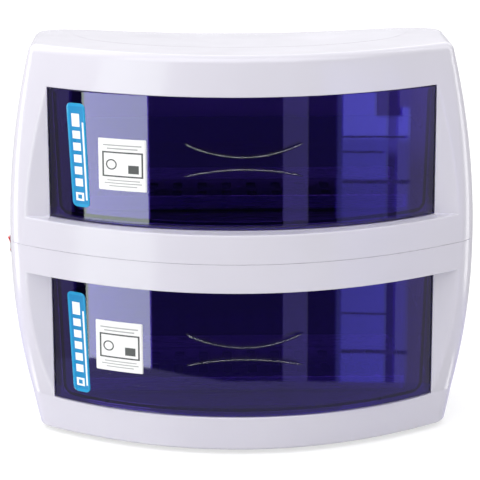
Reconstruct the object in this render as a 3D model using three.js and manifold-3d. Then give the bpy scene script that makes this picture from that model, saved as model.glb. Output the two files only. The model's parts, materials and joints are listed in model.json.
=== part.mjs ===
// Two-drawer ultraviolet sterilizer cabinet for salon tools.
// Millimetres, +Z up, the drawers slide out towards -Y. While it is drawn, x = 0 is the plane
// the drawers are centred on, y = 0 is half the depth and z = 0 is the table top.

import * as THREE from 'three';
import { mergeVertices } from 'three/addons/utils/BufferGeometryUtils.js';
import Module from 'manifold-3d';

const wasm = await Module();
wasm.setup();

// ---- Driving dimensions ----

// Outer shell
const HEIGHT = 320;
const DEPTH = 228;
const MID_HALF_WIDTH = 191.5;
const MID_Z = 161; // the level where the shell is widest
const TOP_DRAW_IN = 20; // how much narrower each side is at the top edge
const SKIRT_DRAW_IN = 23; // the same at the bottom edge
const BACK_WIDENING = 4; // how far the top's rear corners spread past its front corners
const TOP_SETBACK = 11.4; // how far the front leans back at the top edge
const SKIRT_SETBACK = 17.9; // how far the front tucks in below the lower drawer
const BAND_HALF_HEIGHT = 25; // the upright stretch of the front around the widest level
const MID_BOW = 0.0025; // front plan curve y = bow * x^2
const TOP_EXTRA_BOW = 0.0006;
const CORNER_RADIUS = 40; // front corner in plan at the widest level
const CORNER_TIGHTENING = 20; // how much smaller that radius gets at the top and bottom
const BACK_CORNER_RADIUS = 25;
const TOP_EDGE_RADIUS = 6;
const SKIRT_EDGE_RADIUS = 2.4;
const SKIRT_Z = 3.5; // underside of the shell
const SEAM_Z = 159.5; // parting line between the two housings
const SEAM_GAP = 0.3;
const WALL = 3;
const BACK_FRAME = 6.5; // thickness of the frame the back panel is screwed to
const CAVITY_TOP_Z = 311.5;

// Shallow crescent scoop in the top
const SCOOP_DEPTH = 4.6;
const SCOOP_HALF_WIDTH = 136;
const SCOOP_FRONT_Y = -40;
const SCOOP_RADIUS = 148;

// Drawer bays
const BAY_HEIGHT = 105.3;
const LOWER_BAY_Z = 31;
const UPPER_BAY_Z = 183;
const CHEEK_Y = -36; // flat cheeks beside the drawer fronts
const BAY_HALF_WIDTH = 155.8;
const LINER_HALF_WIDTH = 158.5;
const LINER_FRONT_Y = -27;
const LINER_BACK_Y = 102;
const SHEET = 1.2;
const RAIL = { inner: 149.5, outer: 156.5, front: -26, back: 98, height: 6 };

// Drawers
const DRAWER_Y = -95.8; // front face of a closed drawer on the centre plane
const DRAWER_RADIUS = 228.5;
const DRAWER_HALF_WIDTH = 155.2;
const FRONT_THICKNESS = 3.2;
const FRONT_GAP = 0.5;
const TUB_HALF_WIDTH = 147.7; // at the tub's foot
const TUB_DRAFT = 3.7; // how much wider each side is at the top
const TUB_WALL = 2.2;
const TUB_FOOT = 3.5; // height of the tub's underside above the bay floor
const TUB_BACK_Y = 94;
const TUB_SIDE_HEIGHT = 62;
const RIM_DROP = 4; // how far the tub's rim stays below the bay's ceiling
const RIM_SLOPE = { from: -30, to: 5 }; // where the rim drops from the front to the sides
const SKID = { inner: 110, outer: 113, front: -55, back: 88 };
// Stop lugs on the tub's sides; their front faces meet the cheeks when the drawer is out.
const STOP = { front: 72, back: 80, low: 45, high: 55 };
const TRAY = { halfWidth: 134, front: -43, back: 88, height: 12, sheet: 1 };
const TRAY_SLOT = { rows: 3, columns: 12, x: -121, y: -32, pitchX: 21, pitchY: 39, width: 8, length: 30 };

// Finger lips on a drawer's front: heights above the bay floor at the ends and in the middle
const GRIP = {
  half: 46,
  thickness: 1.8,
  reach: 4,
  top: { end: 68.2, middle: 58 },
  low: { end: 42.4, middle: 48.4 },
};

// Stickers on the drawer fronts, and how much lower or further out those of the lower drawer sit
const BAR = [[-135.8, 12], [-121.5, 12], [-124.4, 95], [-139.8, 95]];
const CARD = [[-114, 28.3], [-75.6, 28.3], [-75.6, 69.4], [-114, 69.4]];
const STICKER_SHIFT = { upper: { bar: [0, 0], card: [0, 0] }, lower: { bar: [-3, -2], card: [-5, 3.9] } };

// Ultraviolet lamp: a 16 mm tube, 288 mm over its caps
const LAMP_RADIUS = 8;
const LAMP_HALF_LENGTH = 144;
const LAMP_CAP = 8;
const PIN_LENGTH = 7;
const PIN_SPACING = 4.8;
const PIN_RADIUS = 1.2;
const LAMP_Y = 42;
const LAMP_ABOVE_CEILING = 9.5;
const REFLECTOR_HEIGHT = 18;
const REFLECTOR_SHEET = 0.8;
const REFLECTOR_YS = [-26, 18, 24, 60, 66, 101]; // front edge, trough's slopes, rear edge
const HOLDER = { inner: 145.5, outer: 157.5, halfY: 9 };

// Switch in the left side
const SWITCH_Y = 12;
const SWITCH_Z = 151.5;
const SWITCH_THROW = THREE.MathUtils.degToRad(8); // each way from level
const SWITCH_DEPTH = 15; // how far its body reaches in behind the shell
const ROCKER = { halfZ: 5.8, halfY: 3.6 };

// Back panel, base and feet
const PANEL_HALF_WIDTH = 156.6;
const PANEL_LOW_Z = 13.4;
const PANEL_HIGH_Z = 308.6;
const PANEL_OUTER_Y = 112.8;
const PANEL_THICKNESS = 2.3;
const PANEL_SCREW_X = 152.5;
const PANEL_SCREW_ZS = [30, 145, 292];
const WINDOW_HALF_WIDTH = 147; // openings in the back of the housings, behind the panel
const UPPER_WINDOW = [163, 300];
const LOWER_WINDOW = [22, 154];
const COOLING_SLOT = { count: 8, first: 20, pitch: 12, width: 4, low: 150, high: 176 };
const INLET = { x: -110, z: 171.5, halfX: 11, halfZ: 7 };
const BASE_Z = 5;
const BASE_THICKNESS = 1.8;
const SCREW_RADIUS = 1.5;
const BASE_SCREW_PLACES = [[116, -44], [160, 84]]; // mirrored to the other side
const BOSS_RADIUS = 8;
const FOOT = { x: 138, frontY: -22, rearY: 84, radius: 10, soleRadius: 8 };
const CLEARANCE = 0.3;

const BALLAST = { length: 108, y0: 26, y1: 58, z0: 158.6, height: 16, upperX: -128, lowerX: 20 };
const LEAD_RADIUS = 1.4;

// ---- Materials ----

function plastic(color, roughness, opacity = 1) {
  const transparent = opacity < 1;
  return new THREE.MeshStandardMaterial({ color, roughness, metalness: 0, opacity, transparent });
}

function metal(color, roughness) {
  return new THREE.MeshStandardMaterial({ color, roughness, metalness: 1 });
}

const white = plastic(0xf0eff5, 0.25);
const blue = plastic(0x1d1170, 0.08, 0.75);
const liner = plastic(0xdcdce2, 0.5);
const rubber = plastic(0x1c1c1e, 0.9);
const black = plastic(0x161618, 0.4);
const red = plastic(0xc4161c, 0.3);
const cyan = plastic(0x18a4e6, 0.4);
const paper = plastic(0xf4f4f2, 0.6);
const ceramic = plastic(0xf2f2ee, 0.45);
const glass = plastic(0xe8f0ff, 0.05, 0.4);
const steel = metal(0xb9bcc0, 0.35);
const aluminium = metal(0xd6d8da, 0.2);

// ---- Solid helpers ----

function toSolid(geometry) {
  const bare = geometry.clone();
  bare.deleteAttribute('normal');
  bare.deleteAttribute('uv');
  const merged = mergeVertices(bare, 1e-4);
  const mesh = new wasm.Mesh({
    numProp: 3,
    vertProperties: new Float32Array(merged.attributes.position.array),
    triVerts: new Uint32Array(merged.index.array),
  });
  return new wasm.Manifold(mesh);
}

function toGeometry(solid) {
  const mesh = solid.getMesh();
  const geometry = new THREE.BufferGeometry();
  const positions = new Float32Array(mesh.vertProperties);
  geometry.setAttribute('position', new THREE.BufferAttribute(positions, 3));
  geometry.setIndex(new THREE.BufferAttribute(new Uint32Array(mesh.triVerts), 1));
  geometry.computeVertexNormals();
  return geometry;
}

function block(x0, x1, y0, y1, z0, z1) {
  const geometry = new THREE.BoxGeometry(x1 - x0, y1 - y0, z1 - z0);
  geometry.translate((x0 + x1) / 2, (y0 + y1) / 2, (z0 + z1) / 2);
  return toSolid(geometry);
}

// A cylinder along 'x', 'y' or 'z', from a to b, centred on the two other coordinates.
function rod(axis, radius, a, b, u, v, segments = 10) {
  const geometry = new THREE.CylinderGeometry(radius, radius, b - a, segments);
  if (axis === 'x') {
    geometry.rotateZ(-Math.PI / 2);
    geometry.translate((a + b) / 2, u, v);
  } else if (axis === 'y') {
    geometry.translate(u, (a + b) / 2, v);
  } else {
    geometry.rotateX(Math.PI / 2);
    geometry.translate(u, v, (a + b) / 2);
  }
  return toSolid(geometry);
}

function extrude(points, depth, steps = 1) {
  return new THREE.ExtrudeGeometry(new THREE.Shape(points), { depth, steps, bevelEnabled: false });
}

// A flat outline in plan, raised from z0 to z1.
function raised(points, z0, z1) {
  const geometry = extrude(points, z1 - z0);
  geometry.translate(0, 0, z0);
  return toSolid(geometry);
}

// An outline in the x-z plane, run from y0 to y1.
function runAlongY(points, y0, y1) {
  const geometry = extrude(points, y1 - y0);
  geometry.rotateX(Math.PI / 2);
  geometry.translate(0, y1, 0);
  return toSolid(geometry);
}

// An outline in the y-z plane, run from x0 to x1.
function runAlongX(points, x0, x1) {
  const geometry = extrude(points, x1 - x0);
  geometry.rotateY(Math.PI / 2);
  geometry.rotateX(Math.PI / 2);
  geometry.translate(x0, 0, 0);
  return toSolid(geometry);
}

function arc(cx, cy, radius, from, to, steps) {
  const points = [];
  for (let i = 0; i <= steps; i++) {
    const angle = from + ((to - from) * i) / steps;
    points.push(new THREE.Vector2(cx + radius * Math.cos(angle), cy + radius * Math.sin(angle)));
  }
  return points;
}

const point = (x, y) => new THREE.Vector2(x, y);

const cabinet = new THREE.Group();

function add(name, solid, material) {
  const mesh = new THREE.Mesh(toGeometry(solid), material.clone());
  mesh.name = name;
  cabinet.add(mesh);
  return mesh;
}

// ---- Outer shell: its section at each height ----

const fromMid = (z) => (z - MID_Z) / (HEIGHT - MID_Z); // 0 at the widest level, about 1 at the ends
const drawIn = (z) => (z > MID_Z ? TOP_DRAW_IN : SKIRT_DRAW_IN);
const halfWidth = (z) => MID_HALF_WIDTH - drawIn(z) * fromMid(z) ** 2;
const backHalfWidth = (z) => halfWidth(z) + BACK_WIDENING * Math.max(0, fromMid(z)) ** 2;
const cornerRadius = (z) => CORNER_RADIUS - CORNER_TIGHTENING * fromMid(z) ** 2;
const bow = (z) => MID_BOW + TOP_EXTRA_BOW * Math.max(0, fromMid(z)) ** 2;

function frontY(z) {
  if (z >= MID_Z) {
    return -DEPTH / 2 + TOP_SETBACK * fromMid(z) ** 2;
  }
  const run = MID_Z - BAND_HALF_HEIGHT - LOWER_BAY_Z;
  const down = THREE.MathUtils.clamp((MID_Z - BAND_HALF_HEIGHT - z) / run, 0, 1);
  return -DEPTH / 2 + SKIRT_SETBACK * down ** 2;
}

// The x where the front curve meets the corner's round, found by halving.
function cornerStart(z) {
  let low = 0;
  let high = halfWidth(z);
  const radius = cornerRadius(z);
  for (let i = 0; i < 40; i++) {
    const x = (low + high) / 2;
    const slope = 2 * bow(z) * x;
    const centreX = x - (radius * slope) / Math.hypot(1, slope);
    if (centreX < halfWidth(z) - radius) {
      low = x;
    } else {
      high = x;
    }
  }
  return low;
}

// Plan outline of the shell at height z, moved inwards by inset all round.
function outline(z, inset) {
  const FRONT_STEPS = 22;
  const CORNER_STEPS = 5;
  const BACK_STEPS = 4;
  const edge = cornerStart(z);
  const points = [];
  for (let i = 0; i < FRONT_STEPS; i++) {
    const x = -edge + (2 * edge * i) / FRONT_STEPS;
    const slope = 2 * bow(z) * x;
    const length = Math.hypot(1, slope);
    const y = frontY(z) + bow(z) * x * x;
    points.push(point(x - (inset * slope) / length, y + inset / length));
  }
  const slope = 2 * bow(z) * edge;
  const tilt = Math.atan2(-1, slope);
  const radius = cornerRadius(z);
  const centreX = halfWidth(z) - radius;
  const centreY = frontY(z) + bow(z) * edge * edge + radius / Math.hypot(1, slope);
  const backX = backHalfWidth(z) - BACK_CORNER_RADIUS;
  const backY = DEPTH / 2 - BACK_CORNER_RADIUS;
  const small = BACK_CORNER_RADIUS - inset;
  points.push(...arc(centreX, centreY, radius - inset, tilt, 0, CORNER_STEPS));
  points.push(...arc(backX, backY, small, 0, Math.PI / 2, BACK_STEPS));
  points.push(...arc(-backX, backY, small, Math.PI / 2, Math.PI, BACK_STEPS));
  const lastCorner = arc(-centreX, centreY, radius - inset, Math.PI, Math.PI - tilt, CORNER_STEPS);
  points.push(...lastCorner.slice(0, -1));
  return points;
}

// A solid whose outline follows the shell through a list of { z, inset } levels.
function barrel(levels) {
  const base = outline(levels[0].z, levels[0].inset);
  const steps = levels.length - 1;
  const geometry = extrude(base, steps, steps);
  const rings = levels.map((level) => outline(level.z, level.inset));
  const vertices = geometry.attributes.position;
  for (let i = 0; i < vertices.count; i++) {
    const here = point(vertices.getX(i), vertices.getY(i));
    const ring = Math.round(vertices.getZ(i));
    const index = base.findIndex((p) => p.distanceToSquared(here) < 1e-6);
    vertices.setXYZ(i, rings[ring][index].x, rings[ring][index].y, levels[ring].z);
  }
  return toSolid(geometry);
}

function evenLevels(z0, z1, count, inset) {
  return Array.from({ length: count + 1 }, (_, i) => ({ z: z0 + ((z1 - z0) * i) / count, inset }));
}

// Levels that round an edge of the given radius; side is 1 for a top edge, -1 for a bottom one.
function roundedEdge(z, radius, side, steps) {
  const levels = [];
  for (let i = 1; i <= steps; i++) {
    const angle = ((Math.PI / 2) * i) / steps;
    levels.push({ z: z - side * radius * (1 - Math.sin(angle)), inset: radius * (1 - Math.cos(angle)) });
  }
  return side > 0 ? levels : levels.reverse();
}

// ---- Housings ----

const FAR = 250;
const LINING_Y = CHEEK_Y + WALL;

// Hollow of a housing, with the moulded lining of its drawer bay left standing in front.
function hollow(z0, z1, bayZ) {
  const top = bayZ + BAY_HEIGHT;
  const shelfY = LINER_FRONT_Y - CLEARANCE;
  return barrel(evenLevels(z0, z1, 8, WALL))
    .intersect(block(-FAR, FAR, -FAR, DEPTH / 2 - BACK_FRAME, 0, HEIGHT))
    .subtract(block(-FAR, FAR, -FAR, LINING_Y, bayZ - WALL, top + WALL))
    .subtract(block(-FAR, FAR, -FAR, shelfY, bayZ - WALL, bayZ))
    .subtract(block(-FAR, FAR, -FAR, shelfY, top, top + WALL));
}

function bayCut(bayZ) {
  const top = bayZ + BAY_HEIGHT;
  const pocket = block(-FAR, FAR, -FAR, CHEEK_Y, bayZ, top);
  return pocket.add(block(-BAY_HALF_WIDTH, BAY_HALF_WIDTH, -FAR, LINING_Y + 1, bayZ, top));
}

const panelScrews = [];
for (const z of PANEL_SCREW_ZS) {
  panelScrews.push([-PANEL_SCREW_X, z], [PANEL_SCREW_X, z]);
}

const BACK_REACH = 100; // where cuts through the back start

// One housing's share of the openings and the recess behind the back panel.
function backCut([z0, z1]) {
  let cut = block(-WINDOW_HALF_WIDTH, WINDOW_HALF_WIDTH, BACK_REACH, FAR, z0, z1);
  const recessY = PANEL_OUTER_Y - PANEL_THICKNESS - 0.1;
  const rim = PANEL_HALF_WIDTH + 0.4;
  cut = cut.add(block(-rim, rim, recessY, FAR, PANEL_LOW_Z - 0.4, PANEL_HIGH_Z + 0.4));
  for (const [x, z] of panelScrews) {
    cut = cut.add(rod('y', SCREW_RADIUS + CLEARANCE, BACK_REACH, FAR, x, z, 8));
  }
  return cut;
}

function scoop() {
  const sag = SCOOP_DEPTH;
  const bend = (SCOOP_HALF_WIDTH ** 2 + sag ** 2) / (2 * sag);
  const spread = Math.asin(SCOOP_HALF_WIDTH / bend);
  const down = -Math.PI / 2;
  const dish = arc(0, HEIGHT - sag + bend, bend, down - spread, down + spread, 16);
  dish.push(point(SCOOP_HALF_WIDTH, HEIGHT + 5), point(-SCOOP_HALF_WIDTH, HEIGHT + 5));
  const sweep = Math.asin(SCOOP_HALF_WIDTH / SCOOP_RADIUS);
  const plan = arc(0, SCOOP_FRONT_Y + SCOOP_RADIUS, SCOOP_RADIUS, down - sweep, down + sweep, 20);
  plan.push(point(SCOOP_HALF_WIDTH, DEPTH), point(-SCOOP_HALF_WIDTH, DEPTH));
  return runAlongY(dish, -FAR, FAR).intersect(raised(plan, HEIGHT - 20, HEIGHT + 20));
}

function upperHousing() {
  const low = SEAM_Z + SEAM_GAP / 2;
  const levels = evenLevels(low, HEIGHT - TOP_EDGE_RADIUS, 9, 0);
  levels.push(...roundedEdge(HEIGHT, TOP_EDGE_RADIUS, 1, 3));
  return barrel(levels)
    .subtract(hollow(low - 1, CAVITY_TOP_Z, UPPER_BAY_Z))
    .subtract(bayCut(UPPER_BAY_Z))
    .subtract(backCut(UPPER_WINDOW))
    .subtract(scoop());
}

// A box about the switch's centre, from x0 to x1.
function switchBox(x0, x1, halfY, halfZ) {
  return block(x0, x1, SWITCH_Y - halfY, SWITCH_Y + halfY, SWITCH_Z - halfZ, SWITCH_Z + halfZ);
}

// Bosses for the base plate's screws: two under the bay floor, two on the side walls.
const baseScrews = [];
for (const side of [-1, 1]) {
  baseScrews.push(...BASE_SCREW_PLACES.map(([x, y]) => [side * x, y]));
}

function lowerHousing() {
  const high = SEAM_Z - SEAM_GAP / 2;
  const levels = roundedEdge(SKIRT_Z, SKIRT_EDGE_RADIUS, -1, 2);
  levels.push(...evenLevels(SKIRT_Z + SKIRT_EDGE_RADIUS, high, 9, 0));
  let shell = barrel(levels).subtract(hollow(SKIRT_Z - 1, high + 1, LOWER_BAY_Z));
  const bossTop = LOWER_BAY_Z - WALL + 0.5;
  for (const [x, y] of baseScrews) {
    shell = shell.add(rod('z', BOSS_RADIUS, BASE_Z + BASE_THICKNESS + 0.2, bossTop, x, y, 12));
    shell = shell.subtract(rod('z', SCREW_RADIUS + CLEARANCE, 0, bossTop - 6, x, y, 8));
  }
  return shell
    .subtract(bayCut(LOWER_BAY_Z))
    .subtract(backCut(LOWER_WINDOW))
    .subtract(switchBox(-FAR, -170, 4.6, 6.9));
}

add('upper_housing', upperHousing(), white);
add('lower_housing', lowerHousing(), white);

// ---- Back panel, base plate and feet ----

function backPanel() {
  const inner = PANEL_OUTER_Y - PANEL_THICKNESS;
  const half = PANEL_HALF_WIDTH;
  let panel = block(-half, half, inner, PANEL_OUTER_Y, PANEL_LOW_Z, PANEL_HIGH_Z);
  for (const [x, z] of panelScrews) {
    panel = panel.subtract(rod('y', SCREW_RADIUS + CLEARANCE, BACK_REACH, FAR, x, z, 8));
  }
  const { count, first, pitch, width, low, high } = COOLING_SLOT;
  for (let i = 0; i < count; i++) {
    const x = first + pitch * i;
    panel = panel.subtract(block(x, x + width, BACK_REACH, FAR, low, high));
  }
  const halfX = INLET.halfX + CLEARANCE;
  const halfZ = INLET.halfZ + CLEARANCE;
  const { x, z } = INLET;
  return panel.subtract(block(x - halfX, x + halfX, BACK_REACH, FAR, z - halfZ, z + halfZ));
}

function basePlate() {
  const outlinePoints = outline(SKIRT_Z + SKIRT_EDGE_RADIUS, WALL + 0.4);
  const frameY = DEPTH / 2 - BACK_FRAME - 0.4;
  let plate = raised(outlinePoints, BASE_Z, BASE_Z + BASE_THICKNESS);
  plate = plate.intersect(block(-FAR, FAR, -FAR, frameY, 0, HEIGHT));
  for (const [x, y] of baseScrews) {
    plate = plate.subtract(rod('z', SCREW_RADIUS + CLEARANCE, 0, 20, x, y, 8));
  }
  return plate;
}

function foot(x, y) {
  const { radius, soleRadius } = FOOT;
  const profile = [point(0, 0), point(soleRadius, 0), point(soleRadius + 1, 1), point(radius, BASE_Z),
    point(0, BASE_Z)];
  const geometry = new THREE.LatheGeometry(profile, 16);
  geometry.rotateX(Math.PI / 2);
  geometry.translate(x, y, 0);
  return toSolid(geometry);
}

// A pan-head screw: its head sits on the face at `face` and stands towards `out` (+1 or -1).
function screw(axis, face, out, u, v, length) {
  const HEAD_RADIUS = 3;
  const HEAD_HEIGHT = 1.15;
  const tip = face - out * length;
  const top = face + out * HEAD_HEIGHT;
  const shank = rod(axis, SCREW_RADIUS, Math.min(face, tip), Math.max(face, tip), u, v, 8);
  const head = rod(axis, HEAD_RADIUS, Math.min(face, top), Math.max(face, top), u, v, 12);
  const slot = axis === 'y'
    ? block(u - 2.2, u + 2.2, top - 0.5, top + 0.5, v - 0.4, v + 0.4)
    : block(u - 2.2, u + 2.2, v - 0.4, v + 0.4, top - 0.5, top + 0.5);
  return shank.add(head).subtract(slot);
}

add('back_panel', backPanel(), liner);
add('base_plate', basePlate(), steel);
for (const [end, y] of [['front', FOOT.frontY], ['rear', FOOT.rearY]]) {
  add(`foot_${end}_left`, foot(-FOOT.x, y), rubber);
  add(`foot_${end}_right`, foot(FOOT.x, y), rubber);
}
panelScrews.forEach(([x, z], i) => {
  add(`back_screw_${i + 1}`, screw('y', PANEL_OUTER_Y, 1, x, z, 7.5), steel);
});
baseScrews.forEach(([x, y], i) => {
  add(`base_screw_${i + 1}`, screw('z', BASE_Z, -1, x, y, 10), steel);
});

// ---- Chambers: liner, guide rails, reflector and lamp ----

function chamberLiner(bayZ) {
  const floorZ = bayZ - SHEET;
  const topZ = bayZ + BAY_HEIGHT + WALL;
  const half = LINER_HALF_WIDTH;
  const wide = half + SHEET;
  const outer = block(-wide, wide, LINER_FRONT_Y, LINER_BACK_Y + SHEET, floorZ, topZ);
  return outer.subtract(block(-half, half, LINER_FRONT_Y - 1, LINER_BACK_Y, bayZ, topZ + 1));
}

// The span from a to b on the right (side 1) or mirrored to the left (side -1), low end first.
function onSide(side, a, b) {
  return side > 0 ? [a, b] : [-b, -a];
}

function guideRail(bayZ, side) {
  const [x0, x1] = onSide(side, RAIL.inner, RAIL.outer);
  return block(x0, x1, RAIL.front, RAIL.back, bayZ, bayZ + RAIL.height);
}

// Bent sheet: a flange over the bay, a trough for the lamp, and a rear flange.
function reflector(ceilingZ) {
  const high = ceilingZ + REFLECTOR_HEIGHT;
  const zs = [ceilingZ, ceilingZ, high, high, ceilingZ, ceilingZ];
  const under = REFLECTOR_YS.map((y, i) => point(y, zs[i]));
  const over = under.map((p) => point(p.x, p.y + REFLECTOR_SHEET)).reverse();
  const points = [...under, ...over];
  return runAlongX(points, -LINER_HALF_WIDTH - SHEET, LINER_HALF_WIDTH + SHEET);
}

function lampCap(z, side) {
  const from = LAMP_HALF_LENGTH - LAMP_CAP;
  let cap = rod('x', LAMP_RADIUS, ...onSide(side, from, LAMP_HALF_LENGTH), LAMP_Y, z, 20);
  const reach = onSide(side, from + 1, LAMP_HALF_LENGTH + PIN_LENGTH);
  for (const dy of [-PIN_SPACING / 2, PIN_SPACING / 2]) {
    cap = cap.add(rod('x', PIN_RADIUS, ...reach, LAMP_Y + dy, z, 8));
  }
  return cap;
}

function lampHolder(ceilingZ, z, side) {
  const { inner, outer, halfY } = HOLDER;
  const top = ceilingZ + REFLECTOR_HEIGHT - CLEARANCE;
  let holder = block(...onSide(side, inner, outer), LAMP_Y - halfY, LAMP_Y + halfY, ceilingZ + 1, top);
  const depth = onSide(side, inner - 1, inner + PIN_LENGTH);
  for (const dy of [-PIN_SPACING / 2, PIN_SPACING / 2]) {
    holder = holder.subtract(rod('x', PIN_RADIUS + CLEARANCE, ...depth, LAMP_Y + dy, z, 8));
  }
  return holder;
}

function addChamber(level, bayZ) {
  const ceilingZ = bayZ + BAY_HEIGHT + WALL + CLEARANCE;
  const lampZ = ceilingZ + LAMP_ABOVE_CEILING;
  const glassHalf = LAMP_HALF_LENGTH - LAMP_CAP;
  add(`${level}_chamber_liner`, chamberLiner(bayZ), liner);
  add(`${level}_reflector`, reflector(ceilingZ), aluminium);
  const tube = rod('x', LAMP_RADIUS - 0.3, -glassHalf, glassHalf, LAMP_Y, lampZ, 20);
  add(`${level}_lamp_tube`, tube, glass);
  for (const [hand, side] of [['left', -1], ['right', 1]]) {
    add(`${level}_${hand}_rail`, guideRail(bayZ, side), ceramic);
    add(`${level}_${hand}_lamp_cap`, lampCap(lampZ, side), aluminium);
    add(`${level}_${hand}_lamp_holder`, lampHolder(ceilingZ, lampZ, side), ceramic);
  }
}

addChamber('upper', UPPER_BAY_Z);
addChamber('lower', LOWER_BAY_Z);

// ---- Drawers ----

const DRAWER_CENTRE_Y = DRAWER_Y + DRAWER_RADIUS;

// Points along a front-concentric arc from x = -half to x = half.
function frontArc(radius, half, steps) {
  const spread = Math.asin(half / radius);
  return arc(0, DRAWER_CENTRE_Y, radius, -Math.PI / 2 - spread, -Math.PI / 2 + spread, steps);
}

function frontPlate(radius, thickness, half, z0, z1) {
  const steps = Math.max(4, Math.round(half / 6));
  const points = frontArc(radius, half, steps);
  points.push(...frontArc(radius - thickness, half, steps).reverse());
  return raised(points, z0, z1);
}

// A tub-shaped block whose sides lean out towards the top.
function draftedBlock(half, radius, backY, corner, z0, z1, bayZ) {
  const points = frontArc(radius, half, 20);
  points.push(...arc(half - corner, backY - corner, corner, 0, Math.PI / 2, 4));
  points.push(...arc(-half + corner, backY - corner, corner, Math.PI / 2, Math.PI, 4));
  const geometry = extrude(points, z1 - z0);
  geometry.translate(0, 0, z0);
  const vertices = geometry.attributes.position;
  for (let i = 0; i < vertices.count; i++) {
    const lean = (TUB_DRAFT * (vertices.getZ(i) - bayZ)) / BAY_HEIGHT;
    vertices.setX(i, vertices.getX(i) * (1 + lean / TUB_HALF_WIDTH));
  }
  return toSolid(geometry);
}

// A thin bar in the x-z plane that bends from end height zEnd to centre height zMid.
function bentBar(half, zEnd, zMid, thickness) {
  const rise = zEnd - zMid;
  const radius = (half ** 2 + rise ** 2) / (2 * Math.abs(rise));
  const spread = Math.asin(half / radius);
  const up = rise > 0;
  const centreZ = up ? zMid + radius : zMid - radius;
  const middle = up ? -Math.PI / 2 : Math.PI / 2;
  const halfThick = thickness / 2;
  const points = arc(0, centreZ, radius - halfThick, middle - spread, middle + spread, 14);
  points.push(...arc(0, centreZ, radius + halfThick, middle + spread, middle - spread, 14));
  return runAlongY(points, -FAR, 0);
}

function drawer(bayZ) {
  const floorZ = bayZ + TUB_FOOT;
  const rimZ = bayZ + BAY_HEIGHT - RIM_DROP;
  const sideZ = bayZ + TUB_SIDE_HEIGHT;
  const inner = DRAWER_RADIUS - FRONT_THICKNESS;
  const high = rimZ + 10;
  const { from, to } = RIM_SLOPE;
  const cutAway = [point(from, high), point(from, rimZ), point(to, sideZ), point(FAR, sideZ),
    point(FAR, high)];
  const plate = frontPlate(DRAWER_RADIUS, FRONT_THICKNESS, DRAWER_HALF_WIDTH,
    bayZ + FRONT_GAP, bayZ + BAY_HEIGHT - FRONT_GAP);
  const space = draftedBlock(TUB_HALF_WIDTH - TUB_WALL, inner, TUB_BACK_Y - TUB_WALL, 10,
    floorZ + TUB_WALL, rimZ + 20, bayZ);
  let tub = draftedBlock(TUB_HALF_WIDTH, inner + 1, TUB_BACK_Y, 12, floorZ, rimZ, bayZ)
    .subtract(runAlongX(cutAway, -FAR, FAR))
    .add(plate)
    .subtract(space);
  for (const side of [-1, 1]) {
    const skid = onSide(side, SKID.inner, SKID.outer);
    const lug = onSide(side, TUB_HALF_WIDTH - 1, LINER_HALF_WIDTH - 0.6);
    tub = tub
      .add(block(...skid, SKID.front, SKID.back, bayZ + CLEARANCE, floorZ + 1))
      .add(block(...lug, STOP.front, STOP.back, bayZ + STOP.low, bayZ + STOP.high));
  }
  const ring = frontPlate(DRAWER_RADIUS + GRIP.reach, GRIP.reach + 1, 60, bayZ, bayZ + BAY_HEIGHT);
  const lips = [GRIP.top, GRIP.low].map(({ end, middle }) => (
    bentBar(GRIP.half, bayZ + end, bayZ + middle, GRIP.thickness)
  ));
  return tub.add(ring.intersect(lips[0].add(lips[1])));
}

// Slotted sheet-steel tray that lies on the drawer's floor.
function toolTray(bayZ) {
  const { halfWidth: half, front, back, height, sheet } = TRAY;
  const z0 = bayZ + TUB_FOOT + TUB_WALL + CLEARANCE;
  const space = block(-half + sheet, half - sheet, front + sheet, back - sheet, z0 + sheet, z0 + 20);
  let tray = block(-half, half, front, back, z0, z0 + height).subtract(space);
  const { rows, columns, pitchX, pitchY, width, length } = TRAY_SLOT;
  for (let row = 0; row < rows; row++) {
    for (let column = 0; column < columns; column++) {
      const x = TRAY_SLOT.x + pitchX * column;
      const y = TRAY_SLOT.y + pitchY * row;
      tray = tray.subtract(block(x, x + width, y, y + length, z0 - 1, z0 + 2));
    }
  }
  return tray;
}

// A thin label on the drawer's curved face, from its corners above the bay floor.
function label(corners, [dx, dz], bayZ) {
  const points = corners.map(([x, z]) => point(x + dx, bayZ + z + dz));
  const sheet = frontPlate(DRAWER_RADIUS + 0.4, 0.3, 150, 0, HEIGHT);
  return sheet.intersect(runAlongY(points, -FAR, 0));
}

function addDrawer(level, bayZ) {
  const shift = STICKER_SHIFT[level];
  add(`${level}_drawer`, drawer(bayZ), blue);
  add(`${level}_tool_tray`, toolTray(bayZ), steel);
  add(`${level}_accent_label`, label(BAR, shift.bar, bayZ), cyan);
  add(`${level}_info_label`, label(CARD, shift.card, bayZ), paper);
}

addDrawer('upper', UPPER_BAY_Z);
addDrawer('lower', LOWER_BAY_Z);

// ---- Switch ----

const BEZEL_FACE_X = -MID_HALF_WIDTH - 1.9;
const PIVOT_X = -MID_HALF_WIDTH + 0.5;

function switchBody() {
  const face = -MID_HALF_WIDTH;
  const flange = switchBox(BEZEL_FACE_X, face - 0.1, 5.3, 7.5);
  const body = switchBox(face - 0.5, face + SWITCH_DEPTH, 4.3, 6.6);
  return flange.add(body).subtract(switchBox(-FAR, PIVOT_X + 4.5, 3.9, 6.4));
}

// A rocker drawn level about its pivot, with a hollow face, then tilted so its top stands out.
function switchRocker() {
  const { halfZ, halfY } = ROCKER;
  const profile = [point(-4, halfZ), point(-2.6, 0), point(-4, -halfZ), point(1.5, -halfZ),
    point(2.8, 0), point(1.5, halfZ)];
  const geometry = extrude(profile, 2 * halfY);
  geometry.rotateX(Math.PI / 2);
  geometry.translate(0, halfY, 0);
  geometry.rotateY(-SWITCH_THROW);
  geometry.translate(PIVOT_X, SWITCH_Y, SWITCH_Z);
  return toSolid(geometry);
}

add('switch_body', switchBody(), black);
add('switch_rocker', switchRocker(), red);

// ---- Power inlet, ballasts and wiring ----

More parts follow.
